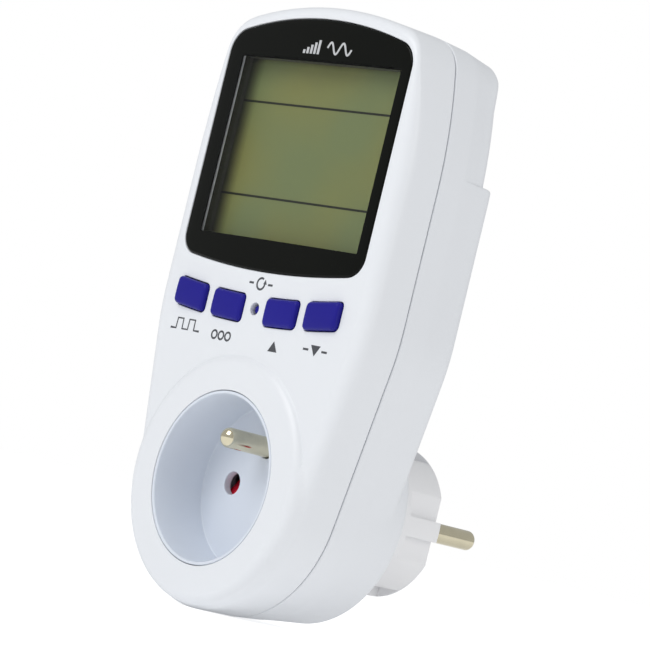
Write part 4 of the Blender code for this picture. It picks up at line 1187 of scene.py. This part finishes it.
class METER_OT_marks(bpy.types.Operator):
    """Print the plain signs on the face and over the display"""

    bl_idname = "meter.marks"
    bl_label = "Printed Marks"

    def execute(self, context):
        placed("marks_face", face_marks(), "ink_grey", BODY, record_slot="carrier_grey")
        placed("marks_bezel", bezel_marks(), "ink_light", BODY, record_slot="case_white")
        return {"FINISHED"}


class METER_OT_finishes(bpy.types.Operator):
    """Give every part of the frame the finish of its slot"""

    bl_idname = "meter.finishes"
    bl_label = "Finishes"

    def execute(self, context):
        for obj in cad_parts.values():
            for slot in obj.material_slots:
                name = slot.material.name.split(".")[0]
                if name not in FINISHES:
                    raise RuntimeError(f"{obj.name} has a material slot {name} with no finish")
                slot.material = finish_of(name)
        return {"FINISHED"}


def soft_light(name, place, target, power, size, colour=(1.0, 1.0, 1.0)):
    """A square light that faces a target."""
    lamp = bpy.data.lights.new(name, "AREA")
    lamp.shape = "SQUARE"
    lamp.energy, lamp.size, lamp.color = power, size, colour
    obj = bpy.data.objects.new(name, lamp)
    obj.location = place
    obj.rotation_euler = (Vector(target) - Vector(place)).to_track_quat("-Z", "Y").to_euler()
    bpy.context.scene.collection.objects.link(obj)


def room_light(strength):
    """Even, slightly cool light all round for the object, and plain white behind it."""
    world = bpy.data.worlds.new("room")
    world.use_nodes = True
    tree = world.node_tree
    lit = tree.nodes["Background"]
    lit.inputs["Color"].default_value = (0.97, 0.985, 1.0, 1.0)
    lit.inputs["Strength"].default_value = strength
    white = tree.nodes.new("ShaderNodeBackground")
    white.inputs["Color"].default_value = (1.0, 1.0, 1.0, 1.0)
    path = tree.nodes.new("ShaderNodeLightPath")
    mix = tree.nodes.new("ShaderNodeMixShader")
    tree.links.new(path.outputs["Is Camera Ray"], mix.inputs[0])
    tree.links.new(lit.outputs[0], mix.inputs[1])
    tree.links.new(white.outputs[0], mix.inputs[2])
    tree.links.new(mix.outputs[0], tree.nodes["World Output"].inputs["Surface"])
    bpy.context.scene.world = world


class METER_OT_stage(bpy.types.Operator):
    """Set up the floor, the soft light and the camera"""

    bl_idname = "meter.stage"
    bl_label = "Stage"

    def execute(self, context):
        stage = context.scene.meter_stage
        foot, reach = CAD_BOX[0][2], 30.0
        mesh = bpy.data.meshes.new("floor")
        corners = [(reach * x, reach * y, foot) for x, y in ((-1, -1), (1, -1), (1, 1), (-1, 1))]
        mesh.from_pydata(corners, [], [(0, 1, 2, 3)])
        floor = bpy.data.objects.new("floor", mesh)
        paper = Finish("floor_paper", specular_ior_level=0.0, roughness=0.9, emission_strength=1.0)
        seen = paper.node("ShaderNodeLightPath", output="Is Camera Ray")
        light = tuple(stage.floor_colour)
        paper.set(
            emission_color=paper.mixed(seen, (0.19, 0.19, 0.19), (0.62, 0.62, 0.62)),
            base_color=paper.mixed(paper.noise(20.0), tuple(c - 0.01 for c in light), light),
        )
        mesh.materials.append(paper.material)
        context.scene.collection.objects.link(floor)

        room_light(stage.room)
        middle = (0.0, -0.02, 0.04)
        soft_light("key_light", (-0.08, -0.93, 0.75), middle, stage.key, 0.7)
        soft_light("side_light", (0.95, 0.15, 0.45), middle, stage.side, 0.6, (1.0, 0.985, 0.97))

        camera = bpy.data.cameras.new("camera")
        camera.sensor_width = 36.0
        camera.lens = LENS
        camera.clip_end = 100.0
        view = bpy.data.objects.new("camera", camera)
        turn = Matrix((CAMERA_RIGHT, CAMERA_UP, -Vector(CAMERA_AHEAD))).transposed().to_4x4()
        view.matrix_world = Matrix.Translation(CAMERA_PLACE) @ turn
        context.scene.collection.objects.link(view)
        context.scene.camera = view
        context.scene.view_settings.view_transform = "Standard"
        return {"FINISHED"}


class METER_PT_panel(bpy.types.Panel):
    """The steps that build the meter, in order"""

    bl_idname = "METER_PT_panel"
    bl_label = "Power Meter"
    bl_space_type = "VIEW_3D"
    bl_region_type = "UI"
    bl_category = "Power Meter"

    def draw(self, context):
        for operator in OPERATORS:
            self.layout.operator(operator.bl_idname)
        for name, kind in GROUPS.items():
            for key in kind.__annotations__:
                self.layout.prop(getattr(context.scene, name), key)


OPERATORS = (
    METER_OT_case,
    METER_OT_window,
    METER_OT_buttons,
    METER_OT_socket,
    METER_OT_plug,
    METER_OT_marks,
    METER_OT_finishes,
    METER_OT_stage,
)
GROUPS = {"meter_sizes": MeterSizes, "meter_colours": MeterColours, "meter_stage": MeterStage}
CLASSES = (*GROUPS.values(), *OPERATORS, METER_PT_panel)


def register():
    for cls in CLASSES:
        bpy.utils.register_class(cls)
    for name, kind in GROUPS.items():
        setattr(bpy.types.Scene, name, PointerProperty(type=kind))


def unregister():
    for name in GROUPS:
        delattr(bpy.types.Scene, name)
    for cls in reversed(CLASSES):
        bpy.utils.unregister_class(cls)


def main():
    register()
    for operator in OPERATORS:
        group, name = operator.bl_idname.split(".")
        getattr(getattr(bpy.ops, group), name)()


if __name__ == "__main__":
    main()
